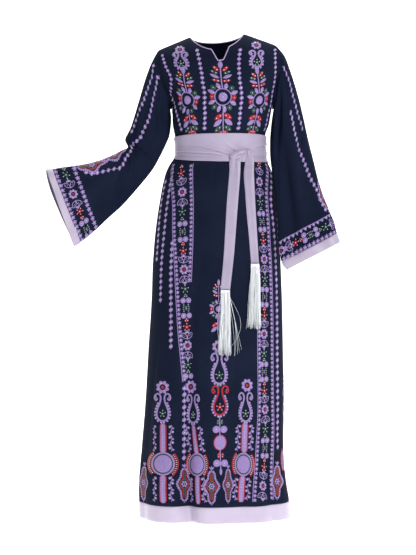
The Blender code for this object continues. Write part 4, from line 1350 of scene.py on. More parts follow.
def double_disc(pen, colour=LAVENDER, radius=2.8, apart=2.9):
    for side in (-1.0, 1.0):
        pen.oval(colour, side * apart, 0.0, 2.0 * radius, 2.0 * radius, 0.0, 14)
        turns = np.linspace(0.0, 1.6 * math.pi, 12)
        reach = radius * (0.75 - 0.45 * turns / turns[-1])
        pen.stone(side * apart, 0.1, 0.8)
        pen.stroke(colour, np.stack([side * (apart + reach * np.cos(turns)),
                                     reach * np.sin(turns)], 1), 0.5, height=0.0011)


def bud(pen, colour):
    pen.oval(colour, 0.0, 0.0, 3.9, 3.9, 0.0, 10)
    for x, y in ((-1.2, -0.6), (1.2, -0.6), (0.0, 1.2)):
        pen.stone(x, y, 0.8)


def leaf_loops(pen, colour=LAVENDER, sense=1.0):
    for side in (-1.0, 1.0):
        pen.loop(colour, side * 2.9, sense * 0.6, 7.4, 3.9, side * sense * 48.0, 0.75)
        pen.stone(side * 2.4, sense * 0.4, 0.5)
        pen.stone(side * 3.6, sense * 1.6, 0.5)
    pen.oval(colour, 0.0, -sense * 2.0, 1.8, 2.4, 0.0, 9)


def base_knots(pen, colour=LAVENDER, sense=1.0):
    for x, y in ((-1.4, 0.7), (1.4, 0.7), (0.0, -0.7)):
        pen.oval(colour, x, y * sense, 2.3, 2.3, 0.0, 8)
    pen.stone(0.0, 0.5 * sense, 0.7)


def leaf_cross(pen, colour=GREEN):
    for side in (-1.0, 1.0):
        for level in (-1.0, 1.0):
            pen.leaf(colour, side * 2.1, level * 1.9, 3.9, 2.0, side * level * 62.0, 0)
            pen.stone(side * 2.4, level * 3.1, 0.7)
            pen.stone(side * 2.9, level * 1.0, 0.6)
    pen.oval(LAVENDER, 0.0, 0.0, 1.1, 4.6, 0.0, 8)


# Order of the woven-looking strip: distance along it and the motif there
STRIP_PERIOD = 77.1
STRIP = (
    (0.0, double_disc, {}),
    (4.6, bud, {"colour": RED}),
    (11.7, star, {"colour": RED}),
    (16.6, base_knots, {"sense": -1.0}),
    (21.2, leaf_loops, {"sense": 1.0}),
    (30.5, rosette, {}),
    (39.6, leaf_loops, {"sense": -1.0}),
    (44.2, base_knots, {"sense": 1.0}),
    (50.2, star, {"colour": GREEN}),
    (57.0, bud, {"colour": GREEN}),
    (61.8, double_disc, {}),
    (69.4, leaf_cross, {}),
)


class Route:
    """Smooth line on the cloth through given places, measured along the cloth."""

    def __init__(self, stitching, places):
        self.stitching = stitching
        places = np.asarray(places, dtype=float)
        count = len(places)
        slopes = np.gradient(places, axis=0) if count > 2 else np.repeat(
            places[1:] - places[:1], 2, axis=0)
        dense = []
        for k in range(count - 1):
            t = np.linspace(0.0, 1.0, 40, endpoint=k == count - 2)[:, None]
            dense.append((2 * t ** 3 - 3 * t ** 2 + 1) * places[k]
                         + (3 * t ** 2 - 2 * t ** 3) * places[k + 1]
                         + (t ** 3 - 2 * t ** 2 + t) * slopes[k]
                         + (t ** 3 - t ** 2) * slopes[k + 1])
        self.line = np.concatenate(dense)
        points = stitching.patch.point(self.line[:, 0], self.line[:, 1])
        gaps = np.linalg.norm(np.diff(points, axis=0), axis=1)
        self.lengths = np.concatenate([[0.0], np.cumsum(gaps)])
        self.length = float(self.lengths[-1])

    def at(self, distance):
        return np.stack([np.interp(distance, self.lengths, self.line[:, 0]),
                         np.interp(distance, self.lengths, self.line[:, 1])], axis=-1)

    def pen(self, distance, size=1.0, squeeze=1.0, extra_turn=0.0):
        """Pen with its upward way back along the line."""
        place = self.at(distance)
        before, after = self.at(max(0.0, distance - 0.002)), self.at(distance + 0.002)
        across, along = self.stitching.patch.scale(float(place[0]), float(place[1]))
        way = (before - after) * [across, along]
        turn = math.degrees(math.atan2(way[1], way[0])) - 90.0
        return Pen(self.stitching, place, turn + extra_turn, size, squeeze)

    def cord(self, colour, width, start=0.0, stop=None, height=0.0005):
        """Thin raised line along the cloth."""
        stop = self.length if stop is None else stop
        count = max(3, int((stop - start) / 0.004))
        places = self.at(np.linspace(start, stop, count))
        patch = self.stitching.patch
        middle = patch.point(places[:, 0], places[:, 1])
        normal = patch.normal(places[:, 0], places[:, 1])
        side = np.cross(np.gradient(middle, axis=0), normal)
        side *= width / 2.0 / np.linalg.norm(side, axis=1, keepdims=True)
        low, high = normal * STITCH_EDGE, normal * (STITCH_EDGE + height)
        points = np.concatenate([middle + side + low, middle + high, middle - side + low])
        faces = []
        for k in range(count - 1):
            for row in (0, count):
                faces.append((row + k, row + k + 1, row + count + k + 1, row + count + k))
        self.stitching.lay(colour, points, faces)

    def bar(self, colour, width, lift=0.0):
        """Broad padded strip that follows the cloth across as well."""
        count = max(4, int(self.length / 0.006))
        places = self.at(np.linspace(0.0, self.length, count))
        shares, rises = (-1.0, -0.8, 0.0, 0.8, 1.0), (0.0, 0.6, 0.8, 0.6, 0.0)
        scales = [self.stitching.patch.scale(float(u), float(v))[0] for u, v in places]
        local, lifts, faces = [], [], []
        for k, (u, v) in enumerate(places):
            taper = min(1.0, 0.55 + 0.45 * min(k, count - 1 - k))
            for share, rise in zip(shares, rises):
                local.append((u + share * width / 2.0 * taper / scales[k], v))
                lifts.append(STITCH_EDGE + lift + rise * 0.0007)
        for k in range(count - 1):
            for j in range(4):
                a = k * 5 + j
                faces.append((a, a + 1, a + 6, a + 5))
        self.stitching.draw(colour, np.array(local), lifts, faces)


def bead_chain(stitching, places, pitch=5.6, size=3.9, stones=True):
    """Chain of round satin-stitch dots on a fine cord, each with its stone."""
    route = Route(stitching, places)
    route.cord(LAVENDER, 0.0014)
    count = max(2, int(round(route.length / (pitch * UNIT))))
    for k in range(count):
        pen = route.pen(route.length * (k + 0.5) / count)
        lean = 14.0 * math.sin(2.3 * k)
        pen.oval(LAVENDER, 0.0, 0.0, size * 1.08, size * 0.88, 30.0 + lean, 10)
        if stones:
            pen.stone(0.15 * math.sin(1.7 * k), 0.0, 0.9)
    return route


def scallop_border(stitching, places, sense, pitch=4.3, corded=True, starry=True, radius=2.3):
    """Row of small stitched stars or points, most with a cord along their outer side."""
    route = Route(stitching, places)
    if corded:
        route.cord(LAVENDER, 0.0022)
    off = 2.1 * sense if corded else 0.0
    count = max(2, int(round(route.length / (pitch * UNIT))))
    for k in range(count):
        pen = route.pen(route.length * (k + 0.5) / count)
        if starry:
            tips = np.array([radius, radius * 0.52] * 5)
            turns = np.radians(np.arange(10) * 36.0 + 90.0)
            pen.pillow(LAVENDER, np.stack([off + np.cos(turns) * tips, np.sin(turns) * tips], 1))
            pen.stone(off, 0.0, 0.55)
        else:
            pen.pillow(LAVENDER, [(-0.5 * sense, 2.0), (1.2 * sense, 1.5), (3.2 * sense, 0.0),
                                  (1.2 * sense, -1.5), (-0.5 * sense, -2.0)])
            pen.stone(1.3 * sense, 0.0, 0.62)
    return route


def strip_motifs(route, anchors, squeeze):
    """The strip's motifs between anchor distances, one whole period from each to the next."""
    for start, end in zip(anchors[:-1], anchors[1:]):
        for distance, motif, options in STRIP:
            share = distance / STRIP_PERIOD
            place = start + (end - start) * share
            if 0.004 < place < route.length - 0.004:
                narrow = squeeze[0] + (squeeze[1] - squeeze[0]) * place / route.length
                motif(route.pen(place, 1.0, narrow), **options)


def spray_up(pen):
    """Leaves that rise from a ring flower to a bud."""
    pen.stroke(LAVENDER, [(0.0, 8.4), (0.0, 15.0), (0.0, 22.0), (0.0, 29.5)], 1.1)
    pen.leaf(LAVENDER, 0.0, 32.2, 8.0, 4.0, 90.0, 0)
    for y, x, length, width, turn, colour in ((28.2, 3.8, 6.8, 3.3, 50.0, RED),
                                              (24.6, 5.3, 7.2, 3.0, 27.0, GREEN),
                                              (20.6, 5.4, 8.6, 3.3, 27.0, LAVENDER),
                                              (16.3, 4.5, 7.8, 2.9, 13.0, RED)):
        stones = 0 if colour == LAVENDER else 2
        for side in (-1.0, 1.0):
            pen.leaf(colour, side * x, y, length, width, side * turn, stones)


def spray_down(pen, rows=4):
    """Leaves that fall from a ring flower."""
    table = ((-19.0, 4.8, 9.4, 4.8, -30.0, RED), (-24.7, 5.6, 10.4, 4.8, -35.0, LAVENDER),
             (-30.4, 5.3, 9.4, 4.5, -33.0, GREEN), (-34.8, 3.2, 6.6, 4.4, -48.0, RED))
    pen.stroke(LAVENDER, [(0.0, -8.4), (0.0, -16.0), (0.0, table[rows - 1][0] - 1.5)], 1.2)
    for y, x, length, width, turn, colour in table[:rows]:
        stones = 0 if colour == LAVENDER else 2
        for side in (-1.0, 1.0):
            pen.leaf(colour, side * x, y, length, width, side * turn, stones)


def ring_flower(pen):
    """Disc in a ring, with petals of three colours round it."""
    pen.oval(LAVENDER, 0.0, 0.0, 8.6, 9.0, 0.0, 24, 0.0009,)
    pen.stone(0.0, 0.0, 0.9)
    pen.ring(LAVENDER, 0.0, 0.0, 8.1, 8.1, 1.0, sides=32)
    petals = ((72.0, 11.3, 6.4, 3.9, 1, LAVENDER), (47.0, 12.4, 5.6, 4.9, 0, GREEN),
              (24.0, 11.9, 7.4, 4.1, 1, LAVENDER), (0.0, 10.9, 4.6, 6.0, 0, RED),
              (-27.0, 12.0, 7.4, 4.1, 1, LAVENDER), (-52.0, 12.6, 5.8, 4.9, 0, GREEN),
              (-76.0, 11.9, 7.2, 3.9, 1, LAVENDER))
    for turn, reach, length, width, pointed, colour in petals:
        for side in (0, 1):
            angle = 180.0 - turn if side else turn
            x, y = reach * math.cos(math.radians(angle)), reach * math.sin(math.radians(angle))
            pen.oval(colour, x, y, length, width, angle, 12, 0.0007, 0.5 if pointed else 0.0)
            if colour != LAVENDER:
                pen.stone(x, y, 0.9)
            else:
                pen.stone(x * 0.88, y * 0.88, 0.6)


LYRE_HALF = ((0.0, 0.0), (0.28, 0.01), (0.5, 0.035), (0.74, 0.08), (0.93, 0.16), (1.0, 0.26),
             (0.93, 0.39), (0.78, 0.49), (0.60, 0.58), (0.43, 0.68), (0.31, 0.79), (0.34, 0.90),
             (0.55, 0.98), (0.86, 1.0), (1.16, 0.96), (1.33, 0.88), (1.30, 0.80), (1.12, 0.755),
             (0.95, 0.78), (0.88, 0.84))


def lyre(pen, half_width, height, colour=LAVENDER, star_colour=GREEN, thread=1.7):
    """Drop with its two ends curled out, laced round its outer edge; its foot is the middle."""
    half = np.array(LYRE_HALF) * [half_width, height]
    for side in (-1.0, 1.0):
        pen.stroke(colour, half * [side, 1.0], thread, height=0.0007)
        outer = half[:10]
        lengths = np.concatenate([[0.0], np.cumsum(np.linalg.norm(np.diff(outer, axis=0), axis=1))])
        count = max(4, int(lengths[-1] / 2.5))
        for k in range(count):
            at = lengths[-1] * (k + 0.4) / count
            spot = np.array([np.interp(at, lengths, outer[:, 0]),
                             np.interp(at, lengths, outer[:, 1])])
            ahead = np.array([np.interp(at + 0.3, lengths, outer[:, 0]),
                              np.interp(at + 0.3, lengths, outer[:, 1])]) - spot
            ahead /= max(1e-6, np.linalg.norm(ahead))
            spot = spot + np.array([ahead[1], -ahead[0]]) * thread * 0.92
            pen.oval(LAVENDER, side * spot[0], spot[1], 2.5, 2.5, 0.0, 8)
            if k % 2 == 0:
                pen.stone(side * spot[0], spot[1], 0.6)
        pen.stone(side * 1.05 * half_width, height * 0.87, 0.7)
    inner = Pen(pen.stitching, pen.places(np.array([[0.0, height * 0.27]]))[0],
                math.degrees(pen.turn), pen.unit / UNIT, pen.squeeze)
    star(inner, star_colour, half_width * 0.62)


def vine(stitching, places, mirror):
    """Wavy cord with small leaves to both sides."""
    route = Route(stitching, places)
    count = max(3, int(round(route.length / (5.0 * UNIT))))
    for k in range(count):
        pen = route.pen(route.length * (k + 0.5) / count)
        side = mirror if k % 2 == 0 else -mirror
        pen.stroke(LAVENDER, [(0.0, 2.5), (0.7 * side, 1.2), (0.7 * side, -1.2), (0.0, -2.5)], 0.7)
        pen.oval(LAVENDER, -1.3 * side, 0.9, 3.0, 2.7, 30.0 * side, 9)
        pen.oval(LAVENDER, 1.8 * side, -0.9, 2.2, 2.0, -30.0 * side, 8)
        pen.stone(-1.3 * side, 0.9, 0.7)


def medallion_bar(stitching, places, squeeze=1.0):
    """Lavender bar with a red edge and a row of stones down its middle."""
    route = Route(stitching, places)
    route.bar(RED, 7.8 * UNIT * squeeze, -0.00005)
    route.bar(LAVENDER, 5.4 * UNIT * squeeze, 0.00055)
    count = max(3, int(route.length / (2.6 * UNIT)))
    for k in range(1, count):
        route.pen(route.length * k / count).stone(0.0, 0.0, 0.75)


def medallion_disc(pen):
    """Great disc ringed in green and lavender between two red arcs set with stones."""
    pen.oval(LAVENDER, 0.0, 0.0, 17.8, 17.8, 0.0, 40, 0.0008)
    pen.ring(GREEN, 0.0, 0.0, 9.7, 9.7, 1.0, sides=40)
    pen.ring(LAVENDER, 0.0, 0.0, 11.0, 11.0, 1.6, sides=44)
    for middle in (0.0, 180.0):
        pen.ring(RED, 0.0, 0.0, 15.0, 15.0, 1.4, middle - 52.0, middle + 42.0, 24)
        pen.ring(RED, 0.0, 0.0, 12.3, 12.3, 0.7, middle - 50.0, middle + 50.0, 24)
        for k in range(11):
            turn = math.radians(middle - 46.0 + 8.6 * k)
            pen.stone(13.6 * math.cos(turn), 13.6 * math.sin(turn), 0.8)


SMALL_BORDER = ((0.0, 16.6), (-2.9, 14.6), (-3.7, 11.4), (-3.9, 8.0), (-5.6, 5.2), (-7.6, 2.4),
                (-8.4, 0.0), (-7.6, -2.4), (-5.6, -5.2), (-3.9, -8.0), (-3.7, -11.4), (-3.2, -15.0),
                (0.0, -18.6))


def small_medallion(pen):
    """Slim lozenge: green bar and ring edged in red, a flower, and a laced lavender border."""
    for side in (-1.0, 1.0):
        line = np.array(SMALL_BORDER) * [side, 1.0]
        pen.stroke(LAVENDER, line * [0.86, 0.95], 0.8)
        lengths = np.concatenate([[0.0], np.cumsum(np.linalg.norm(np.diff(line, axis=0), axis=1))])
        count = int(lengths[-1] / 2.35)
        for k in range(count + 1):
            at = lengths[-1] * k / count
            x, y = np.interp(at, lengths, line[:, 0]), np.interp(at, lengths, line[:, 1])
            pen.oval(LAVENDER, float(x), float(y), 2.2, 2.2, 0.0, 8)
            if k % 3 == 1:
                pen.stone(float(x), float(y), 0.55)
    for level in (-1.0, 1.0):
        pen.pillow(GREEN, [(-1.0, 4.4 * level), (-1.0, 13.2 * level), (1.0, 13.2 * level),
                           (1.0, 4.4 * level)][::int(level)], 0.0006)
        pen.stroke(RED, [(-1.7, 4.9 * level), (-1.7, 9.0 * level), (-1.6, 13.2 * level),
                         (0.0, 14.4 * level), (1.6, 13.2 * level), (1.7, 9.0 * level),
                         (1.7, 4.9 * level)], 0.9)
    pen.ring(RED, 0.0, 0.0, 5.2, 5.2, 0.9, sides=28)
    pen.ring(GREEN, 0.0, 0.0, 4.3, 4.3, 1.0, sides=24)
    pen.ring(LAVENDER, 0.0, 0.0, 2.2, 2.2, 1.5, sides=16)
    for k in range(6):
        turn = math.radians(60.0 * k)
        pen.oval(LAVENDER, 2.9 * math.cos(turn), 2.9 * math.sin(turn), 1.6, 1.6, 0.0, 7, 0.0010)
    pen.stone(0.0, 0.0, 0.8)
    for turn in (52.0, 90.0, 128.0):
        pen.leaf(LAVENDER, 2.2 * math.cos(math.radians(turn)),
                 17.6 + 1.8 * math.sin(math.radians(turn)), 4.0, 1.5, turn, 0)


# Where the motifs lie, in columns and rows of the camera's frame
BODICE_CHAINS = (
    ((196.6, 48.6), (199.2, 60.0), (201.7, 74.0), (203.3, 86.0), (204.6, 100.0), (204.9, 115.0),
     (204.6, 130.5)),
    ((240.5, 48.0), (239.0, 60.0), (239.4, 76.0), (241.2, 90.0), (241.6, 100.0), (240.2, 112.0),
     (237.9, 130.5)),
    ((162.0, 54.0), (165.5, 66.0), (171.0, 78.0), (171.0, 88.0), (170.6, 94.0), (175.0, 106.0),
     (178.5, 120.0), (182.0, 131.5)),
    ((274.9, 47.0), (275.4, 62.0), (275.0, 78.0), (272.5, 92.0), (270.5, 105.0), (267.0, 120.0),
     (264.0, 131.5)),
)
BODICE_COLUMNS = (
    # flower, bud above it, foot of the lower spray, size
    ((223.1, 96.9), (220.2, 64.7), (223.1, 134.0), 1.0),
    ((187.4, 100.0), (183.2, 70.2), (192.0, 133.7), 0.93),
    ((259.6, 100.0), (256.9, 69.2), (251.9, 133.7), 0.93),
)
BODICE_LYRES = (
    # foot of the lyre, rosette above it
    ((181.9, 67.9), (179.7, 49.6)),
    ((256.9, 66.8), (256.4, 45.2)),
)
SKIRT_STRIPS = (
    # middle, inner border, outer border, anchors of the motifs, squeeze
    {"middle": ((182.8, 162.3), (182.1, 192.5), (182.2, 214.0), (183.0, 245.0), (184.2, 272.0),
                (185.8, 300.0), (187.4, 340.0), (188.6, 380.0)),
     "left": ((173.0, 164.0), (172.2, 200.0), (172.6, 236.0), (174.2, 262.0), (176.0, 300.0),
              (177.8, 330.0), (180.6, 360.0), (182.6, 382.0)),
     "right": ((193.4, 163.5), (193.3, 200.0), (193.0, 236.0), (192.2, 262.0), (191.4, 282.0)),
     "anchors": (162.3, 239.4, 315.6, 391.0), "squeeze": (1.0, 0.92)},
    {"middle": ((258.0, 160.0), (259.6, 183.5), (261.4, 214.6), (263.2, 240.0), (264.7, 270.0),
                (264.4, 310.0), (264.0, 348.0), (264.4, 395.0), (265.3, 425.0), (264.4, 460.0),
                (262.8, 501.0)),
     "left": ((257.4, 268.0), (257.4, 300.0), (257.6, 348.0), (258.0, 395.0), (257.0, 430.0),
              (255.0, 465.0), (252.6, 502.0)),
     "right": ((266.6, 164.0), (267.6, 190.0), (269.8, 232.0), (271.4, 262.0), (272.6, 300.0),
               (273.2, 350.0), (273.6, 400.0), (273.8, 440.0), (273.6, 500.0)),
     "anchors": (152.3, 229.4, 304.5, 379.2, 455.7, 532.0), "squeeze": (0.78, 1.08)},
)
SKIRT_CHAINS = (
    ((166.3, 179.0), (162.2, 198.0), (159.8, 217.0), (158.0, 241.0), (156.6, 262.0)),
    ((173.4, 170.0), (169.1, 191.6), (167.0, 206.0), (164.4, 230.0), (162.4, 251.0),
     (161.0, 275.0), (160.4, 303.0)),
    ((172.5, 240.0), (171.5, 256.0), (170.8, 294.0), (170.9, 349.5)),
    ((184.4, 385.0), (184.3, 410.0), (184.2, 440.0), (184.0, 461.0)),
    ((269.4, 168.0), (270.8, 196.0), (273.0, 222.0), (275.0, 246.0), (276.2, 275.0),
     (277.0, 320.0), (277.4, 370.0), (277.6, 410.0), (277.8, 450.0)),
    ((273.4, 172.0), (275.6, 193.5), (277.2, 217.0), (278.6, 240.0)),
)
GREAT_COLUMNS = (
    {"rosette": (162.7, 387.2), "foot": (162.6, 421.0), "lyre": (5.9, 27.4),
     "bar": ((162.9, 423.5), (163.0, 453.0)), "disc": (163.1, 463.8),
     "low_bar": ((163.0, 475.0), (163.2, 503.0)),
     "vines": (8.3, 8.2), "squeeze": 1.0, "disc_squeeze": 1.0},
    {"rosette": (190.8, 386.8), "foot": (193.2, 422.6), "lyre": (5.4, 28.0),
     "bar": ((193.3, 424.8), (196.6, 454.0)), "disc": (197.1, 464.6),
     "low_bar": ((197.5, 476.0), (198.2, 504.0)),
     "vines": (6.3, 6.2), "squeeze": 0.84, "disc_squeeze": 0.72},
    {"rosette": (247.1, 385.3), "foot": (245.6, 421.3), "lyre": (5.7, 28.6),
     "bar": ((245.1, 423.0), (244.2, 452.4)), "disc": (243.4, 464.4),
     "low_bar": ((242.6, 476.0), (241.0, 502.0)),
     "vines": (6.6, 6.4), "squeeze": 0.88, "disc_squeeze": 0.74},
)
# The column that the side seam cuts: angle, then heights
SIDE_COLUMN = {"angle": 86.5, "rosette": -1.020, "foot": -1.124, "disc": -1.251,
               "bars": ((-1.131, -1.220), (-1.285, -1.364))}
SMALL_MEDALLIONS = (
    # column, row, squeeze
    (184.4, 484.0, 0.96),
    (211.6, 486.5, 0.98),
    (228.1, 484.8, 0.66),
    (277.1, 481.4, 0.72),
)
EDGE_MEDALLION = (143.7, 482.4)
SLEEVE_CHAINS_LEFT = (
    ((154.4, 63.0), (152.4, 74.0), (149.4, 84.0), (146.0, 93.5), (141.6, 105.0), (138.0, 114.5),
     (134.2, 125.5), (130.6, 134.0)),
    ((160.0, 76.0), (156.7, 83.0), (154.4, 93.0), (151.4, 107.6), (148.3, 119.9), (143.7, 129.4),
     (138.3, 139.8), (131.4, 147.5), (126.6, 156.5), (121.2, 166.8), (112.0, 169.2),
     (101.4, 171.8), (91.5, 173.6), (83.4, 171.4)),
)
SLEEVE_CHAINS_RIGHT = (
    ((282.2, 66.5), (286.0, 72.5), (289.4, 81.5), (292.2, 93.0), (295.8, 106.0), (299.0, 118.0),
     (303.0, 131.0)),
    ((290.0, 110.0), (292.4, 119.0), (294.6, 131.0), (297.8, 144.2), (302.8, 158.5),
     (309.5, 176.1), (317.1, 190.4), (322.0, 203.0), (326.8, 212.0)),
)
# Small medallions on the sleeves: where seen, how far round from there, size
SLEEVE_MEDALLIONS = {
    "left": (((91.8, 164.6), 0.0, 0.98), ((115.5, 155.6), -10.0, 0.98)),
    "right": (((322.6, 198.0), -9.0, 0.9),),
}


def draw_bodice(stitching, whole):
    patch = stitching.patch
    for chain in BODICE_CHAINS:
        bead_chain(stitching, seen(patch, chain), 4.9, 3.9)
    if not whole:
        return
    for spot, bud_spot, foot_spot, size in BODICE_COLUMNS:
        upper = aimed_pen(stitching, spot, bud_spot, size)
        ring_flower(upper)
        spray_up(upper)
        lower = aimed_pen(stitching, spot, foot_spot, size)
        lower.turn += math.pi
        spray_down(lower)
    for foot, top in BODICE_LYRES:
        lyre(aimed_pen(stitching, foot, top), 5.4, 17.0, LAVENDER, GREEN, 2.0)
        rosette(Pen(stitching, seen(patch, [top])[0]), 5.8)


def rows_to_distances(route, rows):
    """Distances along a route at which given rows of the camera's frame are seen."""
    patch = route.stitching.patch
    images = sight(patch, patch.point(route.line[:, 0], route.line[:, 1]))
    known, lengths = images[:, 1], route.lengths
    first = (lengths[1] - lengths[0]) / max(1e-6, known[1] - known[0])
    last = (lengths[-1] - lengths[-2]) / max(1e-6, known[-1] - known[-2])
    found = []
    for row in rows:
        if row < known[0]:
            found.append(float(lengths[0] + (row - known[0]) * first))
        elif row > known[-1]:
            found.append(float(lengths[-1] + (row - known[-1]) * last))
        else:
            found.append(float(np.interp(row, known, lengths)))
    return found


def column_pen(stitching, spot, size=1.0, squeeze=1.0):
    """Pen for a motif squeezed as the photo shows it in front, and left whole on the back."""
    if stitching.patch.side < 0:
        return SeenPen(stitching, spot, size, squeeze)
    return Pen(stitching, seen(stitching.patch, [spot])[0], 0.0, size)


def draw_skirt(stitching, whole):
    patch = stitching.patch
    for strip in SKIRT_STRIPS:
        route = Route(stitching, seen(patch, strip["middle"]))
        anchors = rows_to_distances(route, strip["anchors"])
        strip_motifs(route, anchors, strip["squeeze"])
        scallop_border(stitching, seen(patch, strip["left"]), 1.0)
        scallop_border(stitching, seen(patch, strip["right"]), -1.0)
    for chain in SKIRT_CHAINS:
        bead_chain(stitching, seen(patch, chain), 6.1, 4.4)
    for column in GREAT_COLUMNS:
        squeeze = column["squeeze"]
        rosette(column_pen(stitching, column["rosette"], 1.0, squeeze), 6.6)
        lyre(column_pen(stitching, column["foot"], 1.0, squeeze), *column["lyre"])
        medallion_disc(column_pen(stitching, column["disc"], 1.0, column["disc_squeeze"]))
        for part, index in (("bar", 0), ("low_bar", 1)):
            top, low = column[part]
            medallion_bar(stitching, seen(patch, [top, low]), squeeze)
            off = column["vines"][index]
            for side in (-1.0, 1.0):
                ends = [(top[0] + side * off, top[1] + 1.5), (low[0] + side * off, low[1] - 1.5)]
                vine(stitching, seen(patch, ends), side)
    angle = -patch.side * SIDE_COLUMN["angle"]
    rosette(Pen(stitching, (angle, SIDE_COLUMN["rosette"])), 6.6)
    lyre(Pen(stitching, (angle, SIDE_COLUMN["foot"])), 5.9, 27.4)
    medallion_disc(Pen(stitching, (angle, SIDE_COLUMN["disc"])))
    for top_z, low_z in SIDE_COLUMN["bars"]:
        medallion_bar(stitching, [(angle, top_z), (angle, low_z)])
    small_medallion(Pen(stitching, seen(patch, [EDGE_MEDALLION])[0], 0.0, 0.96, 1.3))
    for column, row, squeeze in SMALL_MEDALLIONS:
        small_medallion(column_pen(stitching, (column, row), 0.96, squeeze))
    if not whole:
        return
    draw_middle_column(stitching)


def draw_middle_column(stitching):
    """The column down the middle of the skirt in front."""
    patch = stitching.patch
    flower = seen(patch, [(218.6, 308.9)])[0]
    ring_flower(Pen(stitching, flower, 0.0, 0.64))
    pen = Pen(stitching, flower, 0.0, 0.80, 0.84)
    spray_up(pen)
    spray_down(pen, 2)
    rosette(Pen(stitching, seen(patch, [(218.6, 346.5)])[0]), 6.4)
    lyre(Pen(stitching, seen(patch, [(219.2, 383.6)])[0]), 6.1, 29.5, LAVENDER, GREEN)
    lyre(Pen(stitching, seen(patch, [(219.6, 415.0)])[0]), 6.1, 28.2, RED, RED)
    Pen(stitching, seen(patch, [(219.4, 386.0)])[0]).oval(GREEN, 0.0, 0.0, 3.4, 3.0)
    stem = Route(stitching, seen(patch, [(219.6, 416.5), (220.0, 442.6), (220.9, 473.0)]))
    stem.cord(LAVENDER, 0.0030)
    for spot, colour in (((219.9, 421.9), GREEN), ((220.6, 455.5), RED)):
        pen = Pen(stitching, seen(patch, [spot])[0])
        for side in (-1.0, 1.0):
            pen.oval(colour, side * 1.9, 0.0, 2.8, 5.2, 0.0, 10)
            pen.stone(side * 1.9, 1.1, 0.7)
            pen.stone(side * 1.9, -1.1, 0.7)
    for spot in ((220.0, 429.4), (220.7, 463.2)):
        double_disc(Pen(stitching, seen(patch, [spot])[0]), LAVENDER, 3.5, 3.8)
    pen = Pen(stitching, seen(patch, [(220.1, 442.6)])[0])
    pen.oval(LAVENDER, 0.0, 0.0, 11.4, 13.6, 0.0, 32, 0.0009)
    pen.ring(RED, 0.0, 0.0, 6.1, 7.2, 0.8, sides=32)
    Pen(stitching, seen(patch, [(220.9, 471.6)])[0]).leaf(LAVENDER, 0.0, 0.0, 7.4, 2.8, 90.0, 0)


CUFF_STRIPS = (
    # patch word, how far the strip reaches up the sleeve (mean and swing), rosette, sense
    ("left", 1.00, 0.0, (74.7, 193.4), 1.0),
    ("right", 1.36, 0.36, (280.9, 250.0), -1.0),
)


def draw_cuff(stitching, reach, swing, flower, sense):
    """Embroidered strip all round above the cuff band."""
    patch = stitching.patch
    turns = np.arange(0.0, 361.0, 10.0)

    def line(part):
        stations = patch.last - 1 - part * (reach + swing * np.cos(np.radians(turns)))
        return np.stack([turns, stations], axis=1)

    low = scallop_border(stitching, line(0.09)[:-1], 1.0, 4.9, False, True, 2.75)
    high = scallop_border(stitching, line(0.93), -sense, 4.9, sense < 0.0, sense > 0.0, 2.75)
    middle = line(0.50)
    turn = float(seen(patch, [flower])[0][0])
    shifted = middle.copy()
    shifted[:, 0] += turn
    shifted[:, 1] = np.interp(np.mod(shifted[:, 0], 360.0), middle[:, 0], middle[:, 1])
    if sense < 0.0:
        shifted = shifted[::-1].copy()
    route = Route(stitching, shifted)
    period = route.length / 2.0
    flower_share = 30.5 / STRIP_PERIOD
    anchors = [period * (k - flower_share) for k in range(-1, 4)]
    distances = []
    for start in anchors:
        for distance, motif, options in STRIP:
            mirrored = (2.0 * flower_share - distance / STRIP_PERIOD) % 1.0
            place = start + period * mirrored
            if 0.0 <= place < route.length - 0.002:
                distances.append((place, motif, options))
    for place, motif, options in distances:
        motif(route.pen(place, 0.95, 1.0, 180.0), **options)
    return low, high


def build_embroidery():
    stitchings = []
    front = Stitching(FRONT, "front")
    draw_bodice(front, True)
    draw_skirt(front, True)
    back = Stitching(BACK, "back")
    draw_bodice(back, False)
    draw_skirt(back, False)
    stitchings += [front, back]
    for patch, chains, (word, reach, swing, flower, sense) in (
            (LEFT, SLEEVE_CHAINS_LEFT, CUFF_STRIPS[0]),
            (RIGHT, SLEEVE_CHAINS_RIGHT, CUFF_STRIPS[1])):
        stitching = Stitching(patch, "sleeve_" + word)
        for chain in chains:
            bead_chain(stitching, seen(patch, chain), 5.6, 3.9)
        draw_cuff(stitching, reach, swing, flower, sense)
        for spot, turn, size in SLEEVE_MEDALLIONS[word]:
            place = seen(patch, [spot])[0] + [turn, 0.0]
            small_medallion(Pen(stitching, place, 0.0, size))
        stitchings.append(stitching)
    for stitching in stitchings:
        stitching.build()


panels = build_dress_cloth()
sleeves = build_sleeve_cloth()
piping = build_binding()
inner_turn = sash_turn("sash_inner_satin", "sash_inner_turn", 1.0, 0.0008,
                       SASH_STAND_OFF + SASH_WALL, ())
outer_turn = sash_turn("sash_outer_satin", "sash_outer_turn", 0.82, 0.0,
                       SASH_STAND_OFF + 2.0 * SASH_WALL + SASH_TURN_GAP, OUTER_LINES)
tail_left = build_tail("sash_tail_satin_left", "sash_tail_left", LEFT_TAIL, 1.0, 0.0036)
tail_right = build_tail("sash_tail_satin_right", "sash_tail_right", RIGHT_TAIL, 2.2, 0.0010)
knot = build_knot()
build_tassel("tassel_threads_left", "tassel_left", LEFT_TAIL, 11, LEFT_STRAYS)
build_tassel("tassel_threads_right", "tassel_right", RIGHT_TAIL, 23, RIGHT_STRAYS)

build_embroidery()


# Floor, light and camera

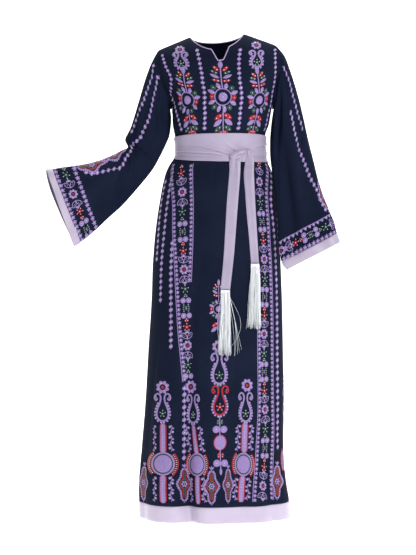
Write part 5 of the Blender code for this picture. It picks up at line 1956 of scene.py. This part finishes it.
def build_stage():
    """Pale floor that turns up into a pale wall, far enough off to walk behind the dress."""
    floor_z, half, turn_y, radius, wall_top = -1.53, 11.2, 5.6, 3.0, 10.0
    profile = [(-12.0, floor_z), (turn_y, floor_z)]
    for k in range(1, 13):
        turn = math.pi / 2.0 * k / 12.0
        profile.append((turn_y + radius * math.sin(turn),
                        floor_z + radius * (1.0 - math.cos(turn))))
    profile.append((turn_y + radius, wall_top))
    points = [(x, y, z) for y, z in profile for x in (-half, half)]
    faces = [(2 * k, 2 * k + 1, 2 * k + 3, 2 * k + 2) for k in range(len(profile) - 1)]
    material, tree, shader = new_material("pale_floor", 0.9)
    tone = noise(tree, 0.8, 2.0)
    colour = colour_ramp(tree, tone, (0.90, 0.90, 0.90), (0.93, 0.93, 0.93))
    tree.links.new(colour, shader.inputs["Base Color"])
    tree.links.new(colour, shader.inputs["Emission Color"])
    shader.inputs["Emission Strength"].default_value = BACKDROP_GLOW
    floor = mesh_object("floor", points, faces, material)


def area_light(name, place, aim, size, power, colour=(1.0, 1.0, 1.0)):
    light = bpy.data.lights.new(name, "AREA")
    light.shape = "RECTANGLE"
    light.size, light.size_y = size
    light.energy = power
    light.color = colour
    obj = bpy.data.objects.new(name, light)
    obj.location = place
    obj.rotation_euler = (Vector(aim) - Vector(place)).to_track_quat("-Z", "Y").to_euler()
    bpy.context.scene.collection.objects.link(obj)


def build_light():
    world = bpy.data.worlds.new("studio")
    bpy.context.scene.world = world
    world.use_nodes = True
    background = world.node_tree.nodes["Background"]
    background.inputs["Color"].default_value = (1.0, 1.0, 1.0, 1.0)
    background.inputs["Strength"].default_value = 0.24
    area_light("key", (2.7, -4.4, 1.9), (0.0, 0.0, -0.7), (1.1, 1.3), 190.0)
    area_light("fill", (-2.4, -5.0, 0.2), (0.0, 0.0, -0.8), (1.8, 2.4), 8.0)
    area_light("backdrop", (0.0, 1.2, 2.8), (0.0, 3.8, -0.6), (5.0, 1.0), 320.0)


def build_camera():
    camera = bpy.data.cameras.new("camera")
    camera.sensor_fit = "VERTICAL"
    camera.sensor_height = SENSOR_HEIGHT
    camera.lens = SENSOR_HEIGHT * CAMERA_DISTANCE / (PHOTO_SIZE[1] * METRES_A_PIXEL)
    camera.clip_end = 60.0
    obj = bpy.data.objects.new("camera", camera)
    obj.location = (CAMERA_X, -CAMERA_DISTANCE, CAMERA_Z)
    obj.rotation_euler = (math.pi / 2.0, 0.0, 0.0)
    bpy.context.scene.collection.objects.link(obj)
    bpy.context.scene.camera = obj


build_stage()
build_light()
build_camera()
bpy.context.scene.view_settings.view_transform = "Standard"
bpy.context.scene.view_settings.look = "None"
